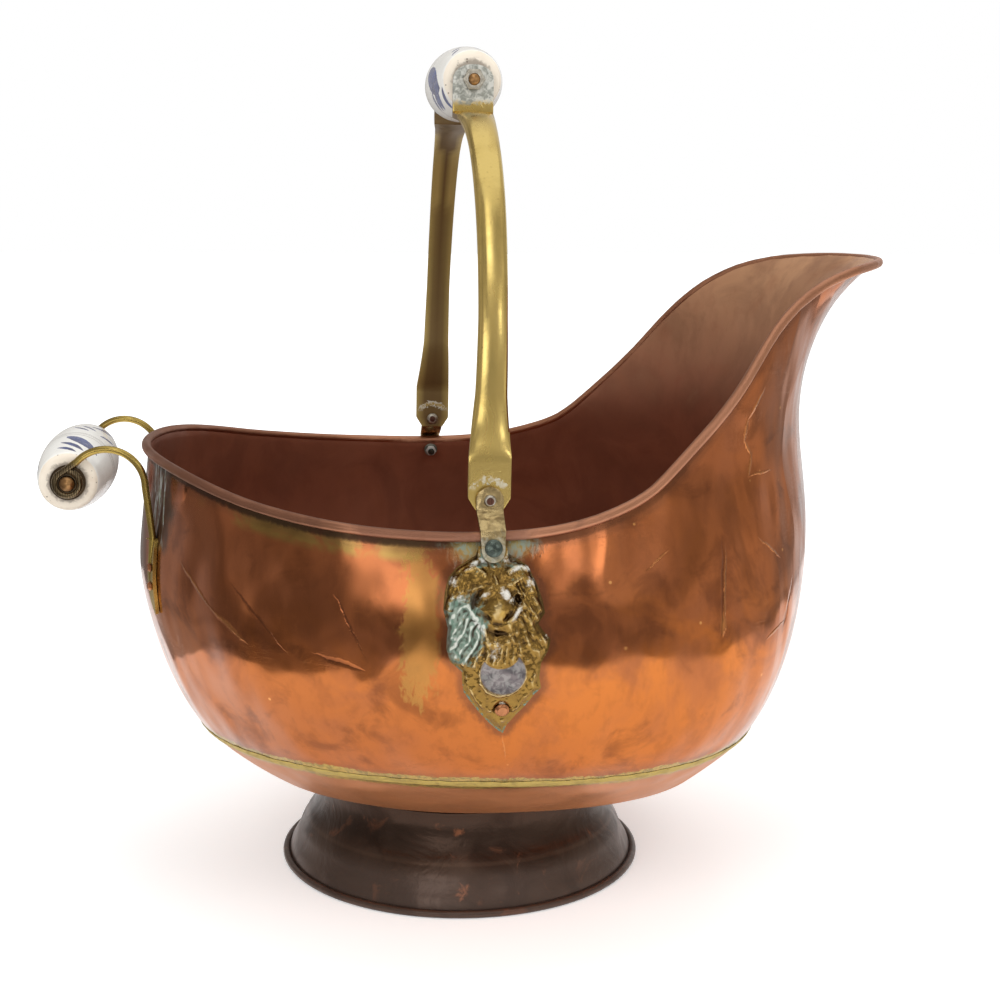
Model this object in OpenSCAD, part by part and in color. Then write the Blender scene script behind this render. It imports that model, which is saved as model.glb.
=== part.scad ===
// Coal scuttle: a footed copper bowl drawn out into a pouring lip, carried by a brass
// bail with a porcelain grip and tipped by a second grip behind. A lion mask backs each ear.
// The origin is the centre of the foot, on the floor. +X is the pouring lip and +Z is up.
// Left is the +Y side and right is the -Y side.

/* [Bowl] */
// Thickness of the copper sheet
sheet_t = 1.2; // [0.9:0.1:1.6]
// Height of the bowl's furthest reach above the foot
bowl_h = 114; // [106:1:122]
// Reach of the bowl behind the foot's axis
bowl_back = 164; // [156:1:172]
// Reach of the bowl in front of the foot's axis
bowl_front = 177; // [170:1:184]
// Half width of the bowl at its widest
bowl_half = 155; // [149:1:161]
// Squareness of the bowl's back, seen from above
back_square = 2.0; // [1.8:0.05:2.2]
// Squareness of the bowl's front, seen from above
front_square = 2.25; // [2.0:0.05:2.5]
// Height of the brazed joint between pan and wall above the foot
seam_h = 33; // [26:1:40]
// Height of the braze
seam_w = 3.6; // [2.5:0.1:5]
// Height of the braze's crown above the copper
seam_proud = 0.5; // [0.3:0.1:1]

/* [Rim] */
// Height of the side rims above the foot
side_rim_h = 153; // [148:1:158]
// Height of the back rim above the foot
back_rim_h = 175.5; // [168:0.5:182]
// Height of the pouring lip above the foot
lip_h = 268; // [255:1:280]
// Reach of the pouring lip beyond the bowl
lip_out = 35.5; // [25:0.5:45]
// Depth of the throat under the lip, in from the bowl
throat_in = 5; // [0:0.5:10]
// Depth of the side rims in from the bowl's widest
rim_in = 12; // [8:0.5:16]
// Radius of the iron wire in the rolled rim
rim_wire_r = 1.0; // [0.8:0.1:1.4]

/* [Foot] */
// Height of the foot
foot_h = 46; // [40:1:52]
// Radius of the foot's rolled edge
foot_r = 94.3; // [89:0.1:99]
// Radius of the foot's step
foot_step_r = 83; // [80:0.5:86]
// Radius of the foot's neck
foot_neck_r = 73.5; // [70:0.5:77]
// Radius of the wire in the foot's rolled edge
foot_wire_r = 0.7; // [0.5:0.05:0.9]
// Width of the flange soldered under the pan
foot_flange_w = 7; // [5:0.5:10]

/* [Lion masks] */
// Height of a mask
mask_h = 82.5; // [76:0.5:88]
// Half width of a mask
mask_half = 22; // [19:0.5:25]
// Depth of the mask's top edge below the side rim
mask_drop = 4; // [3:0.5:7]
// Shift of the mask's lower tip towards the lip
mask_lean = 5; // [0:0.5:8]
// Thickness of the mask at its edge
mask_t = 1; // [0.8:0.1:1.5]
// Height of the seat under an ear
mask_seat = 1.5; // [1:0.1:2]
// Height of the lion's muzzle
muzzle_h = 7; // [5:0.5:9]
// Height of the lion's brow
brow_h = 4; // [3:0.5:6]
// Radius of the copper rivet under the mouth
mask_rivet_r = 2.2; // [1.8:0.1:2.6]

/* [Ears] */
// Distance of the ears behind the foot's axis
ear_back = 2.6; // [0:0.2:6]
// Width of an ear
ear_w = 12.5; // [11:0.5:14]
// Width of an ear's lower end
ear_low_w = 10.4; // [9.5:0.1:12]
// Thickness of an ear
ear_t = 1.8; // [1.4:0.1:2.2]
// Height of the bail's pivot above the side rim
pivot_up = 14.6; // [13:0.2:17]
// Distance of the bail's arms inside the side rims
pivot_in = 8.5; // [7.5:0.5:11]
// Radius of a pivot rivet
pivot_r = 2.15; // [1.9:0.05:2.4]
// Depth of the ear screws below the side rim
screw_down = 4.9; // [4.4:0.1:5.4]
// Radius of an ear screw
screw_r = 1.9; // [1.6:0.1:2.2]
// Radius of an ear screw's head
screw_head_r = 3.9; // [3.4:0.1:4.4]

/* [Bail] */
// Height of the bail's grip above its pivots
bail_h = 185; // [178:1:192]
// Angle that the bail stands forward of upright
bail_lean = 0.8; // [-2:0.1:2]
// Width of an arm at its middle
arm_w = 13.2; // [12:0.2:15]
// Thickness of an arm at its crown
arm_t = 4.4; // [3.6:0.1:5]
// Thickness of an arm at its edges
arm_edge_t = 1.6; // [1.2:0.1:2]
// Width of an arm's flat foot, at the pivot
paddle_w = 18.8; // [17:0.2:21]
// Height of an arm's flat foot above the pivot
paddle_h = 19; // [17:0.5:22]
// Thickness of an arm's flat ends
plate_t = 2.6; // [2:0.1:3]
// Width of an arm's flat top
tab_w = 18.3; // [17:0.1:20]
// Height from the shoulder to the grip's rod
tab_h = 15; // [13:0.5:18]
// Height of the arm's rounded shoulder
shoulder_h = 122; // [112:1:130]
// Lean of each arm inwards below its shoulder
arm_in = 7; // [4:0.5:10]
// Bow of each arm towards the lip at its middle
arm_bow = 1.6; // [0:0.1:4]

/* [Grips] */
// Length of the bail's grip
bail_grip_l = 84; // [78:1:90]
// Radius of the bail's grip at its middle
bail_grip_r = 18; // [17:0.1:19]
// Radius of the bail's grip at its ends
bail_grip_end_r = 13.7; // [12.5:0.1:15.5]
// Length of the rear grip
rear_grip_l = 100; // [94:1:106]
// Radius of the rear grip at its middle
rear_grip_r = 18.5; // [17:0.1:20]
// Radius of the rear grip at its ends
rear_grip_end_r = 13.6; // [12.5:0.1:15.5]
// Radius of the rods in the grips
rod_r = 2.2; // [1.8:0.1:2.6]
// Running clearance round a rod or rivet
run_gap = 0.06; // [0.02:0.01:0.1]
// Radius of the bail's washers
bail_washer_r = 10; // [9.5:0.1:11]
// Thickness of every washer
washer_t = 1; // [0.8:0.1:1.4]
// Width across the flats of the bail's nuts
nut_w = 7.6; // [7:0.1:9]
// Height of the bail's nuts
nut_h = 2.6; // [2:0.1:3.5]

/* [Rear handle] */
// Distance from the back of the bowl to the rear grip's axis
rear_out = 28.7; // [27.5:0.1:33]
// Height of the rear grip's axis above the foot
rear_h = 164; // [158:1:170]
// Radius of the brackets' wire
wire_r = 1.7; // [1.5:0.1:2]
// Radius of the wire's arch
arch_r = 18; // [17:0.5:19.5]
// Radius of the eye forged on the wire
eye_r = 7.4; // [6.5:0.1:8]
// Radius of the rear washers
rear_washer_r = 8.4; // [8:0.1:9]
// Radius of the rear cap nuts
cap_r = 3.7; // [3.3:0.1:4.3]
// Length of the strap flattened on the wire
strap_l = 38; // [34:1:42]
// Width of the strap
strap_w = 7; // [6:0.5:9]
// Thickness of the strap
strap_t = 1.8; // [1.4:0.1:2.2]
// Radius of a strap rivet
strap_rivet_r = 1.5; // [1.2:0.1:1.8]

/* [Hidden] */

left = 1;
right = -1;
round_fn = 96;
small_fn = 48;

// Gaps: between skins that lie on each other, between faces that turn, and for fixed shanks
skin_gap = 0.1;
face_gap = 0.3;
shank_gap = 0.05;
// The roll round the rim's wire is cut into flats too, so it is this much wider than the wire
roll_gap = 0.12;
// Sheet curves are cut into flats, so what sits inside the wall stays this far off it
inner_gap = 0.5;

// ---- Smooth lines through a few points [at, value] ----

function slope_at(line, i) =
    i == 0 ? (line[1][1] - line[0][1]) / (line[1][0] - line[0][0])
    : i == len(line) - 1 ? (line[i][1] - line[i - 1][1]) / (line[i][0] - line[i - 1][0])
    : (line[i + 1][1] - line[i - 1][1]) / (line[i + 1][0] - line[i - 1][0]);
function span_of(line, at, i = 0) = i >= len(line) - 2 || at < line[i + 1][0] ? i : span_of(line, at, i + 1);
function cubic(a, b, slope_a, slope_b, w, t) =
    a * (2 * t ^ 3 - 3 * t ^ 2 + 1) + w * slope_a * (t ^ 3 - 2 * t ^ 2 + t)
    + b * (3 * t ^ 2 - 2 * t ^ 3) + w * slope_b * (t ^ 3 - t ^ 2);
function smooth_line(line, at) =
    let (
        inside = min(max(at, line[0][0]), line[len(line) - 1][0]),
        i = span_of(line, inside),
        w = line[i + 1][0] - line[i][0]
    )
    cubic(line[i][1], line[i + 1][1], slope_at(line, i), slope_at(line, i + 1), w, (inside - line[i][0]) / w);

function unit(v) = v / norm(v);
function bump(x, z, at_x, at_z, w, h) = h * exp(-((x - at_x) ^ 2 + (z - at_z) ^ 2) / w ^ 2);

// ---- The bowl's surface ----
// Levels run from 0 at the foot through 1 at the bowl's furthest reach to 2 at the lip.

level_throat = 1.52;
level_rim = 1.25;
lip_reach = bowl_front + lip_out;
throat_reach = bowl_front - throat_in;
rim_half = bowl_half - rim_in;
flare = lip_reach - throat_reach;
back_line = [
    [0, 0.575], [0.12, 0.697], [0.29, 0.827], [0.51, 0.913], [0.74, 0.966], [1, 1],
    [1.2, 0.985], [1.4, 0.964], [2, 0.92]
];
front_line = [
    [0, 0.695 * bowl_front], [0.12, 0.767 * bowl_front], [0.29, 0.853 * bowl_front],
    [0.51, 0.919 * bowl_front], [0.74, 0.963 * bowl_front], [1, 0.993 * bowl_front],
    [1.2, bowl_front], [1.36, 0.5 * (bowl_front + throat_reach)], [level_throat, throat_reach],
    [1.66, throat_reach + 0.05 * flare], [1.79, throat_reach + 0.25 * flare],
    [1.9, throat_reach + 0.52 * flare], [1.96, throat_reach + 0.78 * flare], [2, lip_reach]
];
half_line = [
    [0, 0.505 * bowl_half], [0.12, 0.64 * bowl_half], [0.29, 0.813 * bowl_half],
    [0.51, 0.93 * bowl_half], [0.74, 0.995 * bowl_half], [1, 0.988 * bowl_half],
    [level_rim, rim_half], [1.4, 0.96 * rim_half], [1.66, 1.02 * rim_half],
    [1.84, 0.955 * rim_half], [2, 0.92 * rim_half]
];
// Where the bowl is widest, as a distance in front of the foot's axis
wide_line = [
    [0, 0.147 * bowl_front], [0.47, 0.136 * bowl_front], [1, -0.01 * bowl_front],
    [1.4, -0.158 * bowl_front], [1.66, -0.21 * bowl_front], [2, -0.29 * bowl_front]
];

function level(z) =
    let (up = z - foot_h)
    up < bowl_h ? up / bowl_h : 1 + (up - bowl_h) / (lip_h - bowl_h);
function back_at(z) = bowl_back * smooth_line(back_line, level(z));
function front_at(z) = smooth_line(front_line, level(z));
function half_at(z) = smooth_line(half_line, level(z));
function wide_at(z) = smooth_line(wide_line, level(z));

// Point on the bowl's outside at height z, in direction turn from the widest line
function bowl_point(z, turn) =
    let (
        wide = wide_at(z),
        forward = cos(turn) >= 0,
        reach = forward ? front_at(z) - wide : wide + back_at(z),
        square = forward ? front_square : back_square,
        r = (abs(cos(turn) / reach) ^ square + abs(sin(turn) / half_at(z)) ^ square) ^ (-1 / square)
    )
    [wide + r * cos(turn), r * sin(turn), z];
// Half width of the bowl's outside at x and z
function side_at(x, z) =
    let (
        wide = wide_at(z),
        forward = x >= wide,
        reach = forward ? front_at(z) - wide : wide + back_at(z),
        square = forward ? front_square : back_square
    )
    half_at(z) * (1 - min(abs((x - wide) / reach), 1) ^ square) ^ (1 / square);
// How far behind the axis the bowl's outside lies at y and z
function rear_at(y, z) =
    wide_at(z) - (wide_at(z) + back_at(z)) * (1 - abs(y / half_at(z)) ^ back_square) ^ (1 / back_square);

near = 0.5;
function bowl_normal(z, turn) =
    unit(cross(
        bowl_point(z, turn + near) - bowl_point(z, turn - near),
        bowl_point(z + near, turn) - bowl_point(z - near, turn)
    ));
function side_normal(x, z) =
    unit(cross(
        [0, side_at(x, z + near) - side_at(x, z - near), 2 * near],
        [2 * near, side_at(x + near, z) - side_at(x - near, z), 0]
    ));
function rear_normal(y, z) =
    unit(cross(
        [rear_at(y, z + near) - rear_at(y, z - near), 0, 2 * near],
        [rear_at(y + near, z) - rear_at(y - near, z), 2 * near, 0]
    ));

// ---- The rim ----
// Shares of the rise from the side rims to the lip and to the back, by direction

lip_rise = [
    [0, 1], [12, 0.99], [20, 0.93], [30, 0.675], [40, 0.385], [50, 0.165], [60, 0.07],
    [72, 0.015], [86, 0], [180, 0]
];
back_rise = [[0, 0], [86, 0], [101, 0.08], [112, 0.2], [126, 0.43], [138, 0.68], [148, 0.85], [160, 0.96], [180, 1]];
function rim_z(turn) =
    let (away = abs(turn) > 180 ? 360 - abs(turn) : abs(turn))
    foot_h + side_rim_h + (lip_h - side_rim_h) * smooth_line(lip_rise, away)
    + (back_rim_h - side_rim_h) * smooth_line(back_rise, away);
function rim_point(turn) = bowl_point(rim_z(turn), turn);
function rim_normal(turn) = bowl_normal(rim_z(turn), turn);
function rim_up(turn) =
    let (up = cross(rim_point(turn + near) - rim_point(turn - near), rim_normal(turn)))
    unit(up[2] > 0 ? up : -up);

curl_in_r = rim_wire_r + roll_gap;
curl_out_r = curl_in_r + sheet_t;
curl_end = -108;
curl_steps = 8;
function curl_centre(turn) = rim_point(turn) + curl_in_r * rim_normal(turn);
function curl_point(turn, r, angle) =
    curl_centre(turn) + r * (cos(angle) * rim_normal(turn) + sin(angle) * rim_up(turn));

// Direction in which the rim crosses the ears' plane
function turn_for(x, low = 60, high = 120, steps = 24) =
    let (mid = (low + high) / 2)
    steps == 0 ? mid
    : rim_point(mid)[0] > x ? turn_for(x, mid, high, steps - 1) : turn_for(x, low, mid, steps - 1);

// ---- Meshes from rings of points ----

function strip(rings, points, i, j, next_i) =
    let (a = i * points + j, b = i * points + (j + 1) % points,
         c = next_i * points + (j + 1) % points, d = next_i * points + j)
    [[a, b, c], [a, c, d]];
module tube_of(rings) {
    n = len(rings);
    m = len(rings[0]);
    polyhedron(
        [for (ring = rings) each ring],
        [for (i = [0:n - 1]) for (j = [0:m - 1]) each strip(rings, m, i, j, (i + 1) % n)]
    );
}
module bar_of(rings) {
    n = len(rings);
    m = len(rings[0]);
    polyhedron(
        [for (ring = rings) each ring],
        [
            for (i = [0:n - 2]) for (j = [0:m - 1]) each strip(rings, m, i, j, i + 1),
            [for (j = [m - 1:-1:0]) j],
            [for (j = [0:m - 1]) (n - 1) * m + j]
        ]
    );
}
// A sheet between two grids of points, each a list of rows
module sheet_of(outer, inner) {
    rows = len(outer);
    bar_of([for (i = [0:rows - 1]) concat(outer[i], [for (j = [len(inner[i]) - 1:-1:0]) inner[i][j]])]);
}

// A flat strip's outline: a path of [along, up] points and the same path moved sideways by t
function path_side(path, i) =
    let (
        a = path[max(i - 1, 0)],
        b = path[i],
        c = path[min(i + 1, len(path) - 1)],
        before = i == 0 ? unit(c - b) : unit(b - a),
        after = i == len(path) - 1 ? unit(b - a) : unit(c - b),
        n1 = [before[1], -before[0]],
        n2 = [after[1], -after[0]]
    )
    (n1 + n2) / (1 + n1 * n2);
function strip_outline(path, t) =
    concat(path, [for (i = [len(path) - 1:-1:0]) path[i] + t * path_side(path, i)]);

// ---- Bowl ----

column_step = 4;
columns = [-180:column_step:180 - column_step];
wall_rows = 15;
seam_z = foot_h + seam_h;

module side_wall() {
    color("#a4603f")
    difference() {
        tube_of([for (turn = columns) wall_section(turn)]);
        for (side = [left, right]) ear_screw_axis(side) shank(screw_r + shank_gap);
        for (side = [left, right]) mask_rivet_axis(side) shank(mask_rivet_r + shank_gap);
        for (side = [left, right]) for (z = strap_rivet_zs)
            strap_rivet_axis(side, z) shank(strap_rivet_r + shank_gap);
    }
}
shank_l = 30;
module shank(r) { rotate([90, 0, 0]) cylinder(r = r, h = shank_l, center = true, $fn = small_fn); }

function wall_level(turn, i) = seam_z + (rim_z(turn) - seam_z) * i / wall_rows;
function wall_section(turn) =
    concat(
        [for (i = [0:wall_rows - 1]) bowl_point(wall_level(turn, i), turn)],
        [for (k = [0:curl_steps]) curl_point(turn, curl_in_r, 180 + (curl_end - 180) * k / curl_steps)],
        [for (k = [curl_steps:-1:0]) curl_point(turn, curl_out_r, 180 + (curl_end - 180) * k / curl_steps)],
        [for (i = [wall_rows - 1:-1:0])
            bowl_point(wall_level(turn, i), turn) - sheet_t * flat_normal(wall_level(turn, i), turn, i == 0)]
    );
// The joint's edge stays level, so the sheet's thickness is taken sideways there
function flat_normal(z, turn, flat) =
    let (n = bowl_normal(z, turn))
    flat ? [n[0], n[1], 0] / norm([n[0], n[1]]) : n;

// The pan's levels above its flat floor, up to the joint
pan_rows = 6;
floor_r = foot_neck_r + 1.5;
function floor_point(turn, r, z) =
    let (wide = wide_at(foot_h), across = wide * sin(turn))
    [wide + (sqrt(r ^ 2 - across ^ 2) - wide * cos(turn)) * cos(turn),
     (sqrt(r ^ 2 - across ^ 2) - wide * cos(turn)) * sin(turn), z];
pan_rise = 2.5;
function pan_level(i) = foot_h + pan_rise + (seam_h - pan_rise) * (i / pan_rows) ^ 1.5;
function pan_section(turn) =
    concat(
        [floor_point(turn, floor_r, foot_h)],
        [for (i = [0:pan_rows]) bowl_point(pan_level(i), turn)],
        [for (i = [pan_rows:-1:0])
            bowl_point(pan_level(i), turn) - sheet_t * flat_normal(pan_level(i), turn, i == pan_rows)],
        [floor_point(turn, floor_r, foot_h + sheet_t)]
    );
module bottom_pan() {
    color("#b5683c")
    pan_of([for (turn = columns) pan_section(turn)]);
}
// Rings of sections closed by a fan on the floor's inside and outside
module pan_of(rings) {
    n = len(rings);
    m = len(rings[0]);
    polyhedron(
        [for (ring = rings) each ring],
        [
            for (i = [0:n - 1]) for (j = [0:m - 2]) each strip(rings, m, i, j, (i + 1) % n),
            [for (i = [0:n - 1]) i * m],
            [for (i = [n - 1:-1:0]) i * m + m - 1]
        ]
    );
}

module brazed_seam() {
    color("#b9a347")
    tube_of([for (turn = columns) seam_section(turn)]);
}
function seam_section(turn) =
    [for (p = [[-0.5, 0], [-0.4, 0.7], [0, 1], [0.4, 0.7], [0.5, 0], [0, 0]])
        let (z = seam_z + p[0] * seam_w)
        bowl_point(z, turn) + (skin_gap + p[1] * seam_proud) * bowl_normal(z, turn)];

wire_sides = 8;
module rim_wire() {
    color("#4a4340")
    tube_of([for (turn = columns)
        [for (k = [0:wire_sides - 1]) curl_point(turn, rim_wire_r, 360 * k / wire_sides)]]);
}

// ---- Foot ----

foot_curl_in = foot_wire_r + shank_gap;
foot_curl_out = foot_curl_in + sheet_t;
foot_land = 0.15;
foot_curl_z = foot_curl_out - foot_land;
foot_curl_r = foot_r - foot_curl_out;
foot_flare = foot_r - foot_step_r;
foot_cove = foot_step_r - foot_neck_r;
foot_path = [
    [foot_curl_r - foot_curl_in - 0.5 * sheet_t, foot_curl_z + 0.3 * sheet_t],
    [foot_step_r + 0.6 * foot_flare, foot_h * 0.13],
    [foot_step_r + 0.3 * foot_flare, foot_h * 0.26],
    [foot_step_r + 0.07 * foot_flare, foot_h * 0.4],
    [foot_step_r - 0.06 * foot_cove, foot_h * 0.44],
    [foot_step_r - 0.17 * foot_cove, foot_h * 0.49],
    [foot_step_r - 0.57 * foot_cove, foot_h * 0.6],
    [foot_step_r - 0.87 * foot_cove, foot_h * 0.75],
    [foot_neck_r, foot_h * 0.88],
    [foot_step_r - 0.92 * foot_cove, foot_h]
];
module foot_ring() {
    color("#4b332b")
    rotate_extrude($fn = round_fn) difference() {
        union() {
            intersection() {
                polygon(strip_outline(foot_path, -sheet_t));
                square([foot_r, foot_h]);
            }
            translate([foot_neck_r - foot_flange_w, foot_h - sheet_t])
                square([foot_flange_w + 0.5, sheet_t]);
            intersection() {
                translate([foot_curl_r, foot_curl_z]) circle(foot_curl_out, $fn = small_fn);
                square([foot_r + foot_curl_out, foot_h]);
            }
        }
        translate([foot_curl_r, foot_curl_z]) circle(foot_curl_in, $fn = small_fn);
    }
}
module foot_wire() {
    color("#4a4340")
    rotate_extrude($fn = round_fn)
        translate([foot_curl_r, foot_curl_z]) circle(foot_wire_r, $fn = small_fn);
}

// ---- Ears and what holds them ----

ear_x = -ear_back;
ear_turn = turn_for(ear_x);
rim_at_ear = rim_point(ear_turn);
curl_at_ear = curl_centre(ear_turn);
side_rim_z = rim_at_ear[2];
pivot_z = side_rim_z + pivot_up;
arm_y = rim_at_ear[1] - pivot_in;
screw_z = side_rim_z - screw_down;
screw_y = side_at(ear_x, screw_z);
ear_lift = 2 * skin_gap + mask_t + mask_seat;

// Mirrors what is drawn for the left side to the side asked for
module on(side) { mirror([0, side == right ? 1 : 0, 0]) children(); }
module ear_screw_axis(side) {
    on(side) translate([ear_x, screw_y, screw_z]) rotate([screw_tilt, 0, 0]) children();
}

// An ear leans on the mask's seat below and on the rolled rim above
ear_face = arm_y + face_gap;
ear_over = curl_at_ear[1] + curl_out_r + 0.25;
ear_low_z = screw_z - ear_w / 2;
ear_low_n = side_normal(ear_x, ear_low_z);
ear_low = [side_at(ear_x, ear_low_z) + ear_lift * ear_low_n[1], ear_low_z + ear_lift * ear_low_n[2]];
ear_high = [ear_over, curl_at_ear[2]];
ear_run = unit(ear_high - ear_low);
screw_tilt = -atan2(ear_run[0], ear_run[1]);
// Distance along the screw from the wall's outside to the ear's inside
screw_seat = [ear_low[0] - screw_y, ear_low[1] - screw_z] * [ear_run[1], -ear_run[0]];
ear_path = [
    ear_low - 4 * ear_run,
    ear_high,
    [ear_over, curl_at_ear[2] + 2.2],
    [ear_face + 1.5, pivot_z - 6.2],
    [ear_face, pivot_z - 4.6],
    [ear_face, pivot_z + ear_w]
];
module ear(side) {
    color("#a08a4a")
    difference() {
        on(side) intersection() {
            translate([ear_x + ear_w / 2, 0, 0]) rotate([90, 0, -90])
                linear_extrude(ear_w) mirror([1, 0]) polygon(strip_outline(ear_path, ear_t));
            translate([ear_x, rim_half + shank_l, 0]) rotate([90, 0, 0])
                linear_extrude(2 * shank_l) ear_front();
        }
        pivot_axis(side) shank(pivot_r + shank_gap);
        ear_screw_axis(side) shank(screw_r + shank_gap);
    }
}
module ear_front() {
    translate([0, screw_z]) circle(d = ear_low_w, $fn = small_fn);
    translate([0, pivot_z]) circle(d = ear_w, $fn = small_fn);
    polygon([[-ear_low_w / 2, screw_z], [ear_low_w / 2, screw_z], [ear_w / 2, pivot_z], [-ear_w / 2, pivot_z]]);
}
module ear_left() { ear(left); }
module ear_right() { ear(right); }
module pivot_axis(side) { on(side) translate([ear_x, arm_y, pivot_z]) children(); }

screw_head_t = 2.4;
ear_washer_r = 5;
screw_grip = screw_seat + ear_t + shank_gap;
wall_tilt = atan2(side_normal(ear_x, screw_z)[2], side_normal(ear_x, screw_z)[1]);
washer_face = -sheet_t - inner_gap - ear_washer_r * abs(sin(screw_tilt - wall_tilt));
module ear_screws() {
    color("#7c8471")
    for (side = [left, right]) ear_screw_axis(side) rotate([-90, 0, 0]) {
        translate([0, 0, screw_grip]) intersection() {
            cylinder(r = screw_head_r, h = screw_head_t, $fn = small_fn);
            translate([0, 0, screw_head_t - 2 * screw_head_r])
                sphere(r = 2 * screw_head_r, $fn = round_fn);
        }
        translate([0, 0, washer_face - washer_t - nut_h - 1])
            cylinder(r = screw_r, h = screw_grip - washer_face + washer_t + nut_h + 1.5, $fn = small_fn);
    }
}
module ear_washers() {
    color("#8d8a84")
    for (side = [left, right]) ear_screw_axis(side) rotate([-90, 0, 0])
        translate([0, 0, washer_face - washer_t]) ring(ear_washer_r, screw_r + shank_gap, washer_t);
}
module ear_nuts() {
    color("#8d8a84")
    for (side = [left, right]) ear_screw_axis(side) rotate([-90, 0, 0])
        translate([0, 0, washer_face - washer_t - skin_gap / 2 - nut_h])
            nut(nut_w, screw_r + shank_gap, nut_h);
}
module ring(r, hole_r, h) {
    difference() {
        cylinder(r = r, h = h, $fn = small_fn);
        translate([0, 0, -1]) cylinder(r = hole_r, h = h + 2, $fn = small_fn);
    }
}
module nut(w, hole_r, h) {
    difference() {
        cylinder(d = w / cos(30), h = h, $fn = 6);
        translate([0, 0, -1]) cylinder(r = hole_r, h = h + 2, $fn = small_fn);
    }
}

rivet_head = 1.1;
module pivot_rivets() {
    color("#b87050")
    for (side = [left, right]) pivot_axis(side) rotate([-90, 0, 0]) {
        head_in = plate_t + face_gap;
        head_out = face_gap + ear_t + shank_gap;
        translate([0, 0, -head_in - rivet_head])
            cylinder(r = pivot_r, h = head_in + head_out + 2 * rivet_head, $fn = small_fn);
        translate([0, 0, head_out]) cylinder(r1 = pivot_r * 1.35, r2 = pivot_r, h = rivet_head, $fn = small_fn);
        translate([0, 0, -head_in - rivet_head])
            cylinder(r1 = pivot_r * 1.2, r2 = pivot_r * 1.6, h = rivet_head, $fn = small_fn);
    }
}

// ---- Lion masks ----
// Half width by share of the height from the top, as a share of the mask's half width

mask_line = [
    [0, 0.35], [0.06, 0.6], [0.13, 0.8], [0.25, 0.97], [0.33, 0.97], [0.42, 0.86], [0.485, 1.02],
    [0.54, 0.97], [0.58, 0.88], [0.64, 0.75], [0.74, 0.75], [0.8, 0.56], [0.91, 0.24], [1, 0.03]
];
mask_top = side_rim_z - mask_drop;
mask_rows = 24;
mask_cols = 14;
mask_rivet_share = 0.86;
function mask_mid(share) = ear_x + mask_lean * share ^ 2;
function mask_z(share) = mask_top - mask_h * share;
// The relief by share of the half width across and share of the height down
function mask_relief(across, share) =
    let (
        x = across * mask_half * smooth_line(mask_line, share),
        z = share * mask_h,
        edge = 1 - abs(across) ^ 4,
        clear = 1 - exp(-max(z - ear_w, 0) ^ 2 / 30),
        mane = 0.5 * cos(900 * across + 200 * share) * (1 - exp(-across ^ 2 * 6)),
        mouth = bump(x, z, 1, 0.42 * mask_h, 5, 1.6) + bump(x, z, 0, 0.675 * mask_h, 8, 2.4),
        from_rivet = norm([x, (share - mask_rivet_share) * mask_h]),
        rivet_seat = 1 - exp(-max(from_rivet - 2 * mask_rivet_r, 0) ^ 2 / 8)
    )
    (1 - clear) * mask_seat + edge * clear * rivet_seat * max(0, 2 + mane - mouth
        + bump(x, z, 1, 0.32 * mask_h, 6, muzzle_h - 2)
        + bump(x, z, 0, 0.17 * mask_h, 10, brow_h - 2));
function mask_point(share, across, lift) =
    let (
        z = mask_z(share),
        half = mask_half * smooth_line(mask_line, share),
        x = mask_mid(share) + across * half
    )
    [x, side_at(x, z), z] + lift * side_normal(x, z);
module mask(side) {
    color("#97884c")
    difference() {
        on(side) sheet_of(
            [for (i = [0:mask_rows]) let (share = i / mask_rows) [for (j = [mask_cols:-1:0])
                let (across = 2 * j / mask_cols - 1)
                mask_point(share, across, skin_gap + mask_t + mask_relief(across, share))]],
            [for (i = [0:mask_rows]) let (share = i / mask_rows) [for (j = [mask_cols:-1:0])
                mask_point(share, 2 * j / mask_cols - 1, skin_gap)]]
        );
        ear_screw_axis(side) shank(screw_r + shank_gap);
        mask_rivet_axis(side) shank(mask_rivet_r + shank_gap);
    }
}
module mask_left() { mask(left); }
module mask_right() { mask(right); }

mask_rivet_z = mask_z(mask_rivet_share);
mask_rivet_x = mask_mid(mask_rivet_share);
mask_rivet_tilt = atan2(side_normal(mask_rivet_x, mask_rivet_z)[2], side_normal(mask_rivet_x, mask_rivet_z)[1]);
module mask_rivet_axis(side) {
    on(side) translate([mask_rivet_x, side_at(mask_rivet_x, mask_rivet_z), mask_rivet_z])
        rotate([mask_rivet_tilt, 0, 0]) children();
}
module mask_rivets() {
    color("#b87050")
    for (side = [left, right]) mask_rivet_axis(side) rotate([-90, 0, 0])
        rivet(mask_rivet_r, skin_gap + mask_t + face_gap, sheet_t + inner_gap);
}
// A rivet along Z through a wall whose outside is at 0
module rivet(r, out, in) {
    translate([0, 0, -in - rivet_head]) cylinder(r = r, h = in + out + 2 * rivet_head, $fn = small_fn);
    translate([0, 0, out]) cylinder(r1 = 1.5 * r, r2 = 0.9 * r, h = rivet_head, $fn = small_fn);
    translate([0, 0, -in - rivet_head]) cylinder(r1 = 0.9 * r, r2 = 1.5 * r, h = rivet_head, $fn = small_fn);
}

// ---- Bail ----

rod_z = pivot_z + bail_h;
tab_y = bail_grip_l / 2 + 2 * face_gap + washer_t;
shoulder_top = rod_z - tab_h;
shoulder_low = shoulder_top - shoulder_h;
shoulder_y = arm_y - plate_t / 2 - arm_in;
paddle_top = pivot_z + paddle_h;

module bail_frame() {
    translate([ear_x, 0, pivot_z]) rotate([0, bail_lean, 0]) translate([0, 0, -pivot_z]) children();
}

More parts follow.
